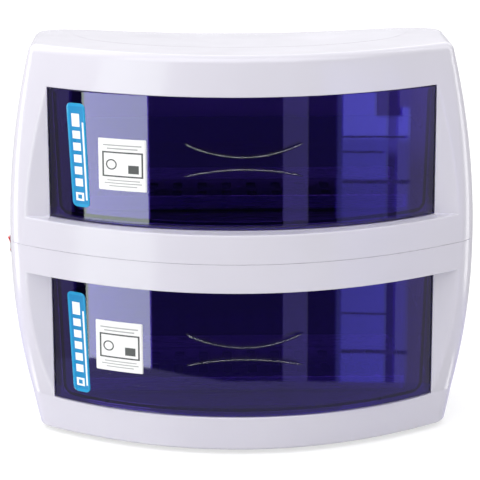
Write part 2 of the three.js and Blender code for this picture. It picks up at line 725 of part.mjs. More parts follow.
// A two-pin inlet: a flange on the panel, a body behind it, and pins in a well.
function powerInlet() {
  const { x, z, halfX, halfZ } = INLET;
  const face = DEPTH / 2 - 0.1;
  const wide = halfX + 3;
  const tall = halfZ + 1.5;
  const flange = block(x - wide, x + wide, PANEL_OUTER_Y, face, z - tall, z + tall);
  const body = block(x - halfX, x + halfX, 92, PANEL_OUTER_Y + 0.5, z - halfZ, z + halfZ);
  const well = block(x - halfX + 2, x + halfX - 2, 99, FAR, z - halfZ + 2, z + halfZ - 2);
  const pin = (dx) => rod('y', 1.2, 97, 109, x + dx, z, 8);
  return flange.add(body).subtract(well).add(pin(-4.3)).add(pin(4.3));
}

function ballast(x0) {
  const { length, y0, y1, z0, height } = BALLAST;
  return block(x0, x0 + length, y0, y1, z0, z0 + height);
}

function lead(stops) {
  const path = new THREE.CatmullRomCurve3(stops.map(([x, y, z]) => new THREE.Vector3(x, y, z)));
  const section = new THREE.Shape(arc(0, 0, LEAD_RADIUS, 0, 2 * Math.PI, 6).slice(0, -1));
  return toSolid(new THREE.ExtrudeGeometry(section, { steps: 22, extrudePath: path }));
}

add('power_inlet', powerInlet(), black);
add('upper_ballast', ballast(BALLAST.upperX), steel);
add('lower_ballast', ballast(BALLAST.lowerX), steel);
add('inlet_lead', lead([[-110, 90, 171], [-122, 79, 171], [-158, 66, 168], [-171, 34, 157],
  [-173, 14, 154], [-174.5, 12, 154]]), black);
add('switch_lead', lead([[-174.5, 12, 148.5], [-170, 13, 150], [-160, 24, 162], [-144, 34, 166],
  [-129.5, 38, 166]]), black);
add('upper_lamp_lead', lead([[-129.5, 50, 168], [-150, 54, 171], [-166, 58, 186], [-167.5, 58, 230],
  [-166, 56, 276], [-164, 46, 298], [-159, 42, 301]]), black);
add('lower_lamp_lead', lead([[129.5, 42, 167], [146, 42, 168], [164, 42, 164], [165.5, 42, 154],
  [159, 42, 149]]), black);

// The origin is the middle of the whole footprint, with the rocker counted in.
const footprint = new THREE.Box3().setFromObject(cabinet);
const middle = footprint.getCenter(new THREE.Vector3());
cabinet.position.set(-middle.x, -middle.y, 0);

export default cabinet;
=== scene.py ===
"""Looks of a two-drawer ultraviolet sterilizer cabinet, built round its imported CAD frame.

Shapes are drawn in millimetres from the drawers' centre plane, and moved into the frame, in
metres, when their meshes are made. Each moulding is a distance field whose zero surface is meshed.
"""

import json
import math

import bpy
import numpy as np
from mathutils import Matrix, Vector

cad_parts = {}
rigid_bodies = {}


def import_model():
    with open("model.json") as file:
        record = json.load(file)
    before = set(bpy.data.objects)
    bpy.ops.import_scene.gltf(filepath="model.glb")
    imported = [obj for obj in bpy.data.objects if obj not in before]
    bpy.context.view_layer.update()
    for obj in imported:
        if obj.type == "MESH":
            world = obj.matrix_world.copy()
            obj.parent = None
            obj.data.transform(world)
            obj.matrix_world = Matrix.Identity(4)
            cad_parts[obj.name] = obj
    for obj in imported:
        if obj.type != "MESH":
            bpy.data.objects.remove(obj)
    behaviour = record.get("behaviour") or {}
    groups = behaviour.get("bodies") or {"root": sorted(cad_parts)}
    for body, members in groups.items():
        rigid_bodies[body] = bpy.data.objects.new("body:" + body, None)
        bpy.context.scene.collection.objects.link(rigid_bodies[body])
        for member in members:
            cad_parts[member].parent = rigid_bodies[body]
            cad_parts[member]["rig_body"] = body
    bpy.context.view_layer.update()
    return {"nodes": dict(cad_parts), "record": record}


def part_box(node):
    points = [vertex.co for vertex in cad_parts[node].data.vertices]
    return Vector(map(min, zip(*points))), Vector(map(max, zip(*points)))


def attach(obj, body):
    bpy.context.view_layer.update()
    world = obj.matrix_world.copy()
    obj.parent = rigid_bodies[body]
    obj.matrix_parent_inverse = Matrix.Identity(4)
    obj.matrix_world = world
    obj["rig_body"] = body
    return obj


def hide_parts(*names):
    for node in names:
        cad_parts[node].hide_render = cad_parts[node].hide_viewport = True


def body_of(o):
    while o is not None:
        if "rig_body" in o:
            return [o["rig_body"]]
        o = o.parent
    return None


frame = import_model()

MM = 0.001
SPACING = 1.0
SLOT_OF = {part["node"]: part["material_slot"] for part in frame["record"]["subparts"]}


def box_mm(node):
    """Lowest and highest corner of a CAD node in millimetres, x from the drawers' centre plane."""
    low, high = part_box(node)
    shift = Vector((CENTRE_X, 0, 0))
    return low / MM - shift, high / MM - shift


def middle(node):
    low, high = box_mm(node)
    return (low + high) / 2


# ---- Dimensions ----

CENTRE_X = sum(corner.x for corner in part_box("upper_housing")) / 2 / MM
SHELL_LOW, SHELL_HIGH = box_mm("upper_housing")
SKIRT_Z = box_mm("lower_housing")[0].z
HEIGHT = SHELL_HIGH.z
DEPTH = SHELL_HIGH.y - SHELL_LOW.y
MID_HALF_WIDTH = SHELL_HIGH.x
UPPER_SEAM = SHELL_LOW.z
LOWER_SEAM = box_mm("lower_housing")[1].z

MID_Z = 161.0  # the level where the shell is widest
TOP_DRAW_IN = 20.0
SKIRT_DRAW_IN = 23.0
BACK_WIDENING = 4.0
TOP_SETBACK = 11.4
SKIRT_SETBACK = 17.9
BAND_HALF_HEIGHT = 25.0
MID_BOW = 0.0025
TOP_EXTRA_BOW = 0.0006
CORNER_RADIUS = 40.0
CORNER_TIGHTENING = 20.0
BACK_CORNER_RADIUS = 25.0
TOP_EDGE_RADIUS = 6.0
SKIRT_EDGE_RADIUS = 2.4
WALL = 3.0
BACK_FRAME = 6.5
CAVITY_TOP = HEIGHT - 8.5

SCOOP_DEPTH = 4.6
SCOOP_HALF_WIDTH = 136.0
SCOOP_FRONT_Y = -40.0
SCOOP_RADIUS = 148.0

CHEEK_Y = -36.0
LINING_Y = CHEEK_Y + WALL
BAY_HALF_WIDTH = 155.8
FRONT_GAP = 0.5
SKID_GAP = 0.3

DRAWER_RADIUS = 228.5
FRONT_HALF_WIDTH = 155.2
FRONT_THICKNESS = 3.2
GRIP_REACH = 4.0
GRIP_HALF_WIDTH = 46.0
GRIP_THICKNESS = 1.5
LIPS = ((68.2, 58.0), (42.4, 48.4))  # heights above the bay's floor: at the tips, at the centre
LIP_TIP = 4.0
LIP_POINT = 0.02  # what is left of the section at a tip
LIP_LIFT = 0.02
LIP_SECTIONS = 81
LIP_NOSE_POINTS = 10
TUB_DRAFT = 3.7
TUB_HALF_WIDTH = 147.7
TUB_WALL = 2.2
TUB_FOOT = 3.5
TUB_RIM_Y = (-32.0, 5.0)  # the rim slopes down between these
TUB_RIM_DROP = 4.0
TUB_RIM_HEIGHT = 62.0
SKID = (110.0, 113.0, -55.0, 88.0)  # x from, x to, y from, y to
SKID_HEIGHT = 5.0
LUG = (146.7, 157.9, 72.0, 80.0)
LUG_HEIGHTS = (45.0, 55.0)

PANEL_GAP = 0.4
PANEL_SINK = 0.1
BACK_OPENING_HALF_WIDTH = 147.0
BACK_OPENING_Y = 100.0
BACK_OPENING_Z = {"upper": (163.0, 300.0), "lower": (22.0, 154.0)}

EDGE = 1.5  # rounding of the shell's edges round the bays
SEAM_EDGE = 0.15
SEAM_CLOSING = 0.18  # the finished seam is narrower than the CAD gap
CAVITY_OVERLAP = 5.0
SWITCH_HOLE = (4.6, 6.9)  # half its width and half its height
SWITCH_HOLE_X = -170.0
FAR = 400.0


class Bay:
    """Heights of one drawer's bay, and the drawer's front plane."""

    def __init__(self, level):
        low, high = box_mm(f"{level}_drawer")
        self.floor = low.z - SKID_GAP
        self.top = high.z + FRONT_GAP
        self.mid = (self.floor + self.top) / 2
        self.half = (self.top - self.floor) / 2
        self.front_y = low.y + GRIP_REACH
        self.back_y = high.y
        self.shelf_y = box_mm(f"{level}_chamber_liner")[0].y - SKID_GAP


BAYS = {level: Bay(level) for level in ("upper", "lower")}

# ---- Distance fields ----


def round_max(a, b, radius):
    """Where both fields are inside, with the edge between them rounded."""
    corner = np.hypot(np.maximum(a + radius, 0), np.maximum(b + radius, 0))
    return np.minimum(np.maximum(a, b), -radius) + corner


def round_min(a, b, radius):
    """Where either field is inside, with a fillet in the inner corner."""
    return -round_max(-a, -b, radius)


def cut(a, b, radius=0.0):
    return round_max(a, -b, radius)


def slab(v, low, high):
    return np.abs(v - (low + high) / 2) - (high - low) / 2


def block(x, y, z, size, radius=0.0):
    """A box given as x0, x1, y0, y1, z0, z1."""
    x0, x1, y0, y1, z0, z1 = size
    flat = round_max(slab(x, x0, x1), slab(y, y0, y1), radius)
    return round_max(flat, slab(z, z0, z1), radius)


def section_table():
    """The shell's plan at many heights: where its front curve ends and its corner's centre."""
    z = np.linspace(-30, HEIGHT + 30, 800)
    t = (z - MID_Z) / (HEIGHT - MID_Z)
    up = np.maximum(t, 0)
    half = MID_HALF_WIDTH - np.where(t > 0, TOP_DRAW_IN, SKIRT_DRAW_IN) * t * t
    bow = MID_BOW + TOP_EXTRA_BOW * up**2
    radius = CORNER_RADIUS - CORNER_TIGHTENING * t * t
    run = MID_Z - BAND_HALF_HEIGHT - BAYS["lower"].floor
    down = np.clip((MID_Z - BAND_HALF_HEIGHT - z) / run, 0, 1)
    setback = np.where(t > 0, TOP_SETBACK * up**2, SKIRT_SETBACK * down**2)
    front = -DEPTH / 2 + setback
    low, high = np.zeros_like(z), half.copy()
    for _ in range(40):
        x = (low + high) / 2
        slope = 2 * bow * x
        reached = x - radius * slope / np.hypot(1, slope) < half - radius
        low, high = np.where(reached, x, low), np.where(reached, high, x)
    slope = 2 * bow * low
    centre_y = front + bow * low**2 + radius / np.hypot(1, slope)
    back = half + BACK_WIDENING * up**2
    return dict(z=z, half=half, back=back, bow=bow, radius=radius, front=front, slope=slope,
                centre_y=centre_y)


SECTIONS = section_table()


def plan_field(x, y, z):
    """Distance to the shell's outline at each point's own height."""
    at = {k: np.interp(z, SECTIONS["z"], v) for k, v in SECTIONS.items() if k != "z"}
    x = np.abs(x)
    front = (at["front"] + at["bow"] * x * x - y) / np.sqrt(1 + (2 * at["bow"] * x) ** 2)
    back_run = DEPTH / 2 - BACK_CORNER_RADIUS - at["centre_y"]
    along = np.clip((y - at["centre_y"]) / back_run, 0, 1)
    side = x - at["half"] - (at["back"] - at["half"]) * along
    px = x - (at["half"] - at["radius"])
    py = y - at["centre_y"]
    in_corner = (px + py * at["slope"] > 0) & (py < 0)
    round_front = np.hypot(px, py) - at["radius"]
    plan = np.where(in_corner, round_front, np.maximum(front, side))
    return round_max(plan, y - DEPTH / 2, BACK_CORNER_RADIUS)


def scoop_field(x, y, z):
    bend = (SCOOP_HALF_WIDTH**2 + SCOOP_DEPTH**2) / (2 * SCOOP_DEPTH)
    dish = np.hypot(x, z - (HEIGHT - SCOOP_DEPTH + bend)) - bend
    step = np.hypot(x, y - SCOOP_FRONT_Y - SCOOP_RADIUS) - SCOOP_RADIUS
    return round_max(dish, step, 1.6)


def bay_pocket(x, y, z, bay, hollow):
    """The hollowed shell with one drawer's bay cut into it and lined."""
    lining = np.maximum(y - LINING_Y, slab(z, bay.floor - WALL, bay.top + WALL))
    shelves = np.minimum(slab(z, bay.floor - WALL, bay.floor), slab(z, bay.top, bay.top + WALL))
    shelves = np.maximum(y - bay.shelf_y, shelves)
    return np.maximum(hollow, -np.minimum(lining, shelves))


def back_cuts(x, y, z, level):
    """The opening behind the back panel, and the shallow seat that the panel lies in."""
    opening = round_max(np.abs(x) - BACK_OPENING_HALF_WIDTH, slab(z, *BACK_OPENING_Z[level]), 4)
    opening = round_max(opening, BACK_OPENING_Y - y, 0)
    low, high = box_mm("back_panel")
    seat = slab(z, low.z - PANEL_GAP, high.z + PANEL_GAP)
    seat = round_max(np.abs(x) - high.x - PANEL_GAP, seat, 2)
    return np.minimum(opening, np.maximum(seat, low.y - PANEL_SINK - y))


def switch_box(x, y, z, x0, x1, half_size, radius):
    """A box centred on the switch, from x0 to x1. half_size is half its width and height."""
    centre = middle("switch_body")
    dy, dz = half_size
    ends = (centre.y - dy, centre.y + dy, centre.z - dz, centre.z + dz)
    return block(x, y, z, (x0, x1, *ends), radius)


def housing_field(level):
    bay = BAYS[level]

    def field(x, y, z):
        plan = plan_field(x, y, z)
        if level == "upper":
            body = round_max(plan, z - HEIGHT, TOP_EDGE_RADIUS)
            body = round_max(body, UPPER_SEAM - z, SEAM_EDGE)
            body = cut(body, scoop_field(x, y, z), 1.0)
            ends = slab(z, UPPER_SEAM - CAVITY_OVERLAP, CAVITY_TOP)
        else:
            body = round_max(plan, SKIRT_Z - z, SKIRT_EDGE_RADIUS)
            body = round_max(body, z - LOWER_SEAM - SEAM_CLOSING, SEAM_EDGE)
            ends = slab(z, SKIRT_Z - CAVITY_OVERLAP, LOWER_SEAM + CAVITY_OVERLAP)
        hollow = np.maximum(np.maximum(plan + WALL, y - DEPTH / 2 + BACK_FRAME), ends)
        hollow = bay_pocket(x, y, z, bay, hollow)
        pocket = round_max(y - CHEEK_Y, slab(z, bay.floor, bay.top), 0.5)
        opening = np.maximum(slab(z, bay.floor, bay.top), y - LINING_Y - 1)
        opening = np.maximum(np.abs(x) - BAY_HALF_WIDTH, opening)
        body = cut(body, pocket, EDGE)
        body = cut(body, opening, 0.8)
        body = cut(body, hollow, 0.0)
        body = cut(body, back_cuts(x, y, z, level), 0.6)
        if level == "lower":
            body = cut(body, switch_box(x, y, z, -FAR, SWITCH_HOLE_X, SWITCH_HOLE, 0.4), 0.3)
        return body

    return field


def drawer_field(bay):
    centre_y = bay.front_y + DRAWER_RADIUS

    def field(x, y, z):
        ax = np.abs(x)
        r = np.hypot(x, y - centre_y)
        inner = DRAWER_RADIUS - FRONT_THICKNESS
        front = round_max(slab(r, inner, DRAWER_RADIUS), ax - FRONT_HALF_WIDTH, 0.7)
        front = round_max(front, slab(z, bay.floor + FRONT_GAP, bay.top - FRONT_GAP), 0.7)
        front = np.maximum(front, y - centre_y)

        lean = TUB_DRAFT * (z - bay.floor) / (bay.top - bay.floor)
        tub = round_max(ax - TUB_HALF_WIDTH - lean, y - bay.back_y, 12)
        tub = round_max(tub, bay.floor + TUB_FOOT - z, 8)
        rim_heights = (bay.top - bay.floor - TUB_RIM_DROP, TUB_RIM_HEIGHT)
        rim = bay.floor + np.interp(y, TUB_RIM_Y, rim_heights)
        walls = round_max(tub, -(tub + TUB_WALL), 0)
        walls = round_max(walls, z - rim, 0.9)
        walls = np.maximum(walls, r - inner - 1)
        body = round_min(front, walls, 0.6)

        skids = block(ax, y, z, (*SKID, bay.floor + SKID_GAP, bay.floor + SKID_HEIGHT), 0.5)
        lug_low, lug_high = LUG_HEIGHTS
        lugs = block(ax, y, z, (*LUG, bay.floor + lug_low, bay.floor + lug_high), 0.8)
        lugs = np.maximum(lugs, -(tub + TUB_WALL))
        return np.minimum(np.minimum(body, skids), lugs)

    return field


# ---- Meshing ----


def ticks(low, high, coarse, marks=()):
    """Grid lines `coarse` apart, and closer in and near each (from, to, spacing) mark."""
    places = [low]
    while places[-1] < high:
        here = places[-1]
        gaps = [fine + 0.25 * max(a - here, here - b, 0) for a, b, fine in marks]
        places.append(here + SPACING * min([coarse, *gaps]))
    return np.array(places)


def mirrored(places):
    return np.concatenate([-places[:0:-1], places])


CORNERS = [(i, j, k) for i in (0, 1) for j in (0, 1) for k in (0, 1)]
EDGES = [(a, b) for a in range(8) for b in range(a + 1, 8)
         if sum(abs(p - q) for p, q in zip(CORNERS[a], CORNERS[b])) == 1]


def surface_net(field, xs, ys, zs):
    """Points and quads of the field's zero surface: one point in each grid cell that it crosses."""
    grid = np.meshgrid(xs, ys, zs, indexing="ij", sparse=True)
    values = np.broadcast_to(field(*grid), (len(xs), len(ys), len(zs)))
    inside = values < 0
    shape = tuple(n - 1 for n in inside.shape)
    count = np.zeros(shape, np.int8)
    for i, j, k in CORNERS:
        count += inside[i:i + shape[0], j:j + shape[1], k:k + shape[2]]
    mixed = (count > 0) & (count < 8)
    cells = np.nonzero(mixed)
    cell_id = np.full(shape, -1, np.int64)
    cell_id[mixed] = np.arange(len(cells[0]))

    total = np.zeros((len(cells[0]), 3))
    crossings = np.zeros(len(cells[0]))
    corner_values = [values[tuple(c + o for c, o in zip(cells, corner))] for corner in CORNERS]
    corner_points = [np.stack([axis[c + o] for axis, c, o in zip((xs, ys, zs), cells, corner)], 1)
                     for corner in CORNERS]
    for a, b in EDGES:
        va, vb = corner_values[a], corner_values[b]
        crossed = (va < 0) != (vb < 0)
        share = np.where(crossed, va / np.where(crossed, va - vb, 1), 0)[:, None]
        point = corner_points[a] + share * (corner_points[b] - corner_points[a])
        total += np.where(crossed[:, None], point, 0)
        crossings += crossed
    points = total / crossings[:, None]

    quads = []
    for axis in range(3):
        u, v = (axis + 1) % 3, (axis + 2) % 3
        ahead, behind = [slice(1, -1)] * 3, [slice(1, -1)] * 3
        behind[axis], ahead[axis] = slice(None, -1), slice(1, None)
        was, now = inside[tuple(behind)], inside[tuple(ahead)]
        place = list(np.nonzero(was != now))
        outward = was[tuple(place)]
        ring = []
        for du, dv in ((0, 0), (1, 0), (1, 1), (0, 1)):
            at = list(place)
            at[u], at[v] = at[u] + du, at[v] + dv
            ring.append(cell_id[tuple(at)])
        ring = np.stack(ring, 1)
        quads.append(np.where(outward[:, None], ring, ring[:, ::-1]))
    return points, np.concatenate(quads)


def gradient(field, points):
    """The field's slope at each point, from a small step each way."""
    step = 0.01
    slope = np.empty_like(points)
    for axis in range(3):
        ahead, behind = points.copy(), points.copy()
        ahead[:, axis] += step
        behind[:, axis] -= step
        slope[:, axis] = (field(*ahead.T) - field(*behind.T)) / (2 * step)
    return slope


def settle(field, points):
    """Points moved onto the zero surface, and the surface's direction there."""
    for _ in range(3):
        slope = gradient(field, points)
        size = np.maximum((slope**2).sum(1), 0.25)
        push = np.clip(field(*points.T), -0.6, 0.6) / size
        points = points - push[:, None] * slope
    slope = gradient(field, points)
    return points, slope / np.maximum(np.linalg.norm(slope, axis=1), 1e-9)[:, None]


def make_piece(name, points, faces, node, normals=None):
    """A mesh, from points in mm, that stands for a CAD node and takes its body and slot."""
    mesh = bpy.data.meshes.new(name)
    placed = (np.asarray(points) + [CENTRE_X, 0, 0]) * MM
    mesh.from_pydata(placed.tolist(), [], np.asarray(faces).tolist())
    mesh.polygons.foreach_set("use_smooth", np.ones(len(mesh.polygons), bool))
    if normals is not None:
        mesh.normals_split_custom_set_from_vertices(normals.tolist())
    mesh.update()
    piece = bpy.data.objects.new(name, mesh)
    bpy.context.scene.collection.objects.link(piece)
    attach(piece, body_of(frame["nodes"][node])[0])
    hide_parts(node)
    mesh.materials.append(MATERIALS[SLOT_OF[node]])
    return piece


def mould(node, field, xs, ys, zs):
    """Meshes a field as the finished surface of a CAD node."""
    points, quads = surface_net(field, xs, ys, zs)
    points, normals = settle(field, points)
    return make_piece(f"{node}_surface", points, quads, node, normals)


def finger_lip(bay, end, middle):
    """Points, quads and normals of a thin lip that stands on a drawer's front.

    It curves from height `end` at its tips to `middle` at its centre, and its nose is half round.
    """
    rise = end - middle
    bend = (GRIP_HALF_WIDTH**2 + rise**2) / (2 * abs(rise))
    way = math.copysign(1, rise)
    half = GRIP_THICKNESS / 2
    turn = np.linspace(-math.pi / 2, math.pi / 2, LIP_NOSE_POINTS)
    root = 0.1
    out = np.concatenate([[0, root], GRIP_REACH - half + half * np.cos(turn), [root, 0]])
    across = np.concatenate([[-half, -half], half * np.sin(turn), [half, half]])

    x = GRIP_HALF_WIDTH * np.sin(np.linspace(-math.pi / 2, math.pi / 2, LIP_SECTIONS))[:, None]
    drop = way * np.sqrt(bend**2 - x**2)
    in_tip = np.maximum(np.abs(x) - GRIP_HALF_WIDTH + LIP_TIP, 0) / LIP_TIP
    taper = np.sqrt(np.maximum(1 - in_tip**2, LIP_POINT**2))
    px = x + x / bend * across * taper
    pz = bay.floor + middle + way * bend - drop - drop / bend * across * taper
    r = DRAWER_RADIUS + LIP_LIFT + (out - LIP_LIFT) * taper
    py = bay.front_y + DRAWER_RADIUS - np.sqrt(r**2 - px**2)
    grid = np.stack([px, py, pz], -1)

    normals = -way * np.cross(np.gradient(grid, axis=0), np.gradient(grid, axis=1))
    normals /= np.linalg.norm(normals, axis=2)[:, :, None]
    rows, columns = px.shape
    number = np.arange(rows * columns).reshape(rows, columns)
    beside = np.roll(number, -1, axis=1)
    sides = np.stack([number[:-1], number[1:], beside[1:], beside[:-1]], -1).reshape(-1, 4)
    j = np.arange(columns // 2 - 1)
    tip = np.stack([j, j + 1, columns - 2 - j, columns - 1 - j], -1)
    quads = np.concatenate([sides, tip, number[-1, 0] + tip[:, ::-1]])
    if way > 0:
        quads = quads[:, ::-1]
    return grid.reshape(-1, 3), quads, normals.reshape(-1, 3)


# ---- Materials ----


class Graph:
    """The node tree of a material or a world, with short calls for the nodes used here."""

    def __init__(self, name, kind=bpy.data.materials):
        self.owner = kind.new(name)
        self.owner.use_nodes = True
        self.tree = self.owner.node_tree
        self.tree.nodes.clear()

    def put(self, socket, value):
        if isinstance(value, bpy.types.NodeSocket):
            self.tree.links.new(value, socket)
        elif isinstance(value, (tuple, list)) and len(socket.default_value) == 4:
            socket.default_value = (*value, 1.0)
        else:
            socket.default_value = value

    def add(self, kind, inputs=None, **settings):
        node = self.tree.nodes.new(kind)
        for key, value in settings.items():
            setattr(node, key, value)
        for key, value in (inputs or {}).items():
            self.put(node.inputs[key], value)
        return node

    def shader(self, kind, inputs):
        return self.add("ShaderNode" + kind, inputs).outputs[0]

    def math(self, operation, a, b=0.0, c=0.0, clamp=False):
        node = self.add("ShaderNodeMath", {0: a, 1: b, 2: c}, operation=operation, use_clamp=clamp)
        return node.outputs[0]

    def ramp(self, value, low, high, to_low=0.0, to_high=1.0, smooth=False):
        kind = "SMOOTHSTEP" if smooth else "LINEAR"
        sockets = ("Value", "From Min", "From Max", "To Min", "To Max")
        inputs = dict(zip(sockets, (value, low, high, to_low, to_high)))
        return self.add("ShaderNodeMapRange", inputs, interpolation_type=kind).outputs[0]

    def mix(self, factor, a, b):
        node = self.add("ShaderNodeMix", data_type="RGBA")
        for socket, value in zip((node.inputs[0], node.inputs[6], node.inputs[7]), (factor, a, b)):
            self.put(socket, value)
        return node.outputs[2]

    def place(self, stretch=(1, 1, 1)):
        """Object coordinates in metres, stretched by a factor on each axis."""
        source = self.add("ShaderNodeTexCoord").outputs["Object"]
        inputs = {"Vector": source, "Scale": stretch}
        return self.add("ShaderNodeMapping", inputs).outputs[0]

    def film_place(self):
        """The place across and up a sticker, from 0 to 1."""
        source = self.add("ShaderNodeTexCoord").outputs["UV"]
        return self.add("ShaderNodeSeparateXYZ", {0: source}).outputs[:2]

    def noise(self, scale, detail=2.0, stretch=(1, 1, 1)):
        inputs = {"Vector": self.place(stretch), "Scale": scale, "Detail": detail}
        return self.add("ShaderNodeTexNoise", inputs).outputs["Fac"]

    def bump(self, height, strength, distance, normal=None):
        inputs = {"Height": height, "Strength": strength, "Distance": distance}
        if normal is not None:
            inputs["Normal"] = normal
        return self.add("ShaderNodeBump", inputs).outputs[0]

    def principled(self, **inputs):
        named = {key.replace("_", " "): value for key, value in inputs.items()}
        return self.add("ShaderNodeBsdfPrincipled", named).outputs[0]

    def finish(self, surface, output="ShaderNodeOutputMaterial"):
        self.add(output, {"Surface": surface})
        return self.owner


def shade(colour, factor):
    return tuple(c * factor for c in colour)


LINE_OFF_RIM = 1.8
LINE_FADE = (0.8, 2.2)
LINE_END_FADE = 30.0


def scoop_line(g):
    """1 in the thin line of shade in front of the scoop's rim, fading out at its ends."""
    axes = g.add("ShaderNodeSeparateXYZ", {0: g.place()})
    x = g.math("SUBTRACT", axes.outputs[0], CENTRE_X * MM)
    y = g.math("SUBTRACT", axes.outputs[1], (SCOOP_FRONT_Y + SCOOP_RADIUS) * MM)
    away = g.math("SQRT", g.math("ADD", g.math("MULTIPLY", x, x), g.math("MULTIPLY", y, y)))
    off = g.math("ABSOLUTE", g.math("SUBTRACT", away, (SCOOP_RADIUS + LINE_OFF_RIM) * MM))
    line = g.ramp(off, LINE_FADE[0] * MM, LINE_FADE[1] * MM, 1.0, 0.0, smooth=True)
    end = SCOOP_HALF_WIDTH * MM
    ends = g.ramp(g.math("ABSOLUTE", x), end - LINE_END_FADE * MM, end, 1.0, 0.0)
    on_top = g.math("GREATER_THAN", axes.outputs[2], (HEIGHT - 1) * MM)
    return g.math("MULTIPLY", g.math("MULTIPLY", line, ends), on_top)


def moulded(name, colour, rough, grain=900.0, relief=0.02, wear=0.05, line=None, **extra):
    """Moulded plastic: slight flow mottling, a fine skin, hairline wear and paler rubbed edges."""
    g = Graph(name)
    flow = g.noise(9.0, 3.0)
    tone = g.mix(g.ramp(flow, 0.3, 0.7), shade(colour, 0.975), shade(colour, 1.02))
    rubbed = g.ramp(g.add("ShaderNodeNewGeometry").outputs["Pointiness"], 0.52, 0.6)
    tone = g.mix(g.math("MULTIPLY", rubbed, 0.25), tone, shade(colour, 1.08))
    if line:
        tone = g.mix(line(g), tone, shade(colour, 0.80))
    scuffs = g.ramp(g.noise(60.0, 4.0, (1.0, 1.0, 9.0)), 0.62, 0.78)
    skin = g.ramp(g.noise(22.0, 2.0), 0.25, 0.75, rough * 0.9, rough * 1.1)
    gloss = g.math("ADD", skin, g.math("MULTIPLY", scuffs, wear))
    normal = g.bump(g.noise(grain, 2.0), relief, 0.0002)
    return g.finish(g.principled(Base_Color=tone, Roughness=gloss, Normal=normal, **extra))


def sheet_metal(name, colour, rough, grain=(1.0, 40.0, 40.0), relief=0.05, metallic=1.0):
    """Rolled or brushed metal: grain along one axis, with patches of handling marks."""
    g = Graph(name)
    lines = g.noise(55.0, 5.0, grain)
    tone = g.mix(lines, shade(colour, 0.86), shade(colour, 1.08))
    marks = g.ramp(g.noise(14.0, 3.0), 0.55, 0.75)
    polish = g.ramp(lines, 0.2, 0.8, rough * 0.8, rough * 1.2)
    gloss = g.math("ADD", polish, g.math("MULTIPLY", marks, 0.08))
    normal = g.bump(lines, relief, 0.0003)
    look = g.principled(Base_Color=tone, Metallic=metallic, Roughness=gloss, Normal=normal)
    return g.finish(look)


def tinted_plastic(name, echo, ripple):
    """Clear indigo plastic: each face passes tinted light, and mirrors the room faintly.

    The outer face mirrors white. What the inner faces mirror comes back through the tint: echo
    is how much of it there is. ripple is how far the faces are from flat.
    """
    g = Graph(name)
    geometry = g.add("ShaderNodeNewGeometry")
    haze = g.ramp(g.noise(7.0, 2.0), 0.3, 0.7, 0.97, 1.03)
    clear = g.mix(haze, (0.0, 0.0, 0.0), (0.41, 0.31, 0.63))
    through = g.shader("BsdfTransparent", {"Color": clear})
    waves = g.bump(g.noise(38.0, 2.0, (1.0, 1.0, 0.35)), ripple, 0.001)
    wear = g.ramp(g.noise(130.0, 5.0, (1.0, 1.0, 5.0)), 0.60, 0.80, 0.012, 0.10)
    mirror_inputs = {"Roughness": wear, "Normal": waves}
    outer = g.shader("BsdfGlossy", {**mirror_inputs, "Color": (1.0, 1.0, 1.0)})
    inner = g.shader("BsdfGlossy", {**mirror_inputs, "Color": (0.30, 0.26, 0.62)})
    back = geometry.outputs["Backfacing"]
    mirror = g.shader("MixShader", {0: back, 1: outer, 2: inner})
    fresnel = g.shader("Fresnel", {"IOR": 1.5, "Normal": waves})
    facing = g.add("ShaderNodeLayerWeight", {"Blend": 0.5}).outputs["Facing"]
    inner_strength = g.ramp(facing, 0.0, 1.0, 0.16 * echo, 0.9 * echo)
    strength = g.mix(back, fresnel, inner_strength)
    surface = g.shader("MixShader", {0: strength, 1: through, 2: mirror})
    return g.finish(surface)


def lamp_glass(name):
    """Clear quartz tube with a faint, patchy frosting."""
    g = Graph(name)
    frost = g.ramp(g.noise(30.0, 3.0), 0.35, 0.7, 0.10, 0.22)
    body = g.principled(Base_Color=(0.86, 0.90, 0.98), Roughness=0.12, Specular_IOR_Level=0.6)
    clear = g.shader("BsdfTransparent", {"Color": (0.93, 0.96, 1.0)})
    share = g.math("ADD", frost, 0.35)
    return g.finish(g.shader("MixShader", {0: share, 1: clear, 2: body}))


def inside_box(g, u, v, box):
    """1 where u, v lie in box (u0, u1, v0, v1), else 0."""
    mask = 1.0
    for value, low, high in ((u, *box[:2]), (v, *box[2:])):
        for operation, limit in (("GREATER_THAN", low), ("LESS_THAN", high)):
            mask = g.math("MULTIPLY", g.math(operation, value, limit), mask)
    return mask


def any_of(g, masks):
    total = 0.0
    for mask in masks:
        total = g.math("MAXIMUM", mask, total)
    return total


def accent_film(name):
    """Cyan vinyl bar with a darker border and a column of plain white blocks, with no lettering."""
    g = Graph(name)
    u, v = g.film_place()
    lows = (0.20, 0.315, 0.43, 0.545, 0.66)
    blocks = [inside_box(g, u, v, (0.24, 0.66, low, low + 0.075)) for low in lows]
    blocks.append(inside_box(g, u, v, (0.24, 0.66, 0.775, 0.90)))
    line = inside_box(g, u, v, (0.78, 0.87, 0.07, 0.82))
    square = g.math("SUBTRACT", inside_box(g, u, v, (0.22, 0.68, 0.06, 0.14)),
                    inside_box(g, u, v, (0.34, 0.56, 0.08, 0.12)), clamp=True)
    printed = any_of(g, [*blocks, line, square])
    fade = g.mix(g.noise(18.0, 2.0), (0.002, 0.21, 0.465), (0.005, 0.25, 0.51))
    rim = g.math("SUBTRACT", 1.0, inside_box(g, u, v, (0.12, 0.88, 0.03, 0.97)))
    fade = g.mix(rim, fade, (0.007, 0.30, 0.58))
    tone = g.mix(printed, fade, (0.90, 0.93, 0.97))
    normal = g.bump(g.noise(700.0, 2.0), 0.03, 0.0002)
    gloss = g.ramp(g.noise(50.0, 3.0), 0.3, 0.7, 0.26, 0.36)
    return g.finish(g.principled(Base_Color=tone, Roughness=gloss, Normal=normal,
                                 Specular_IOR_Level=0.3))


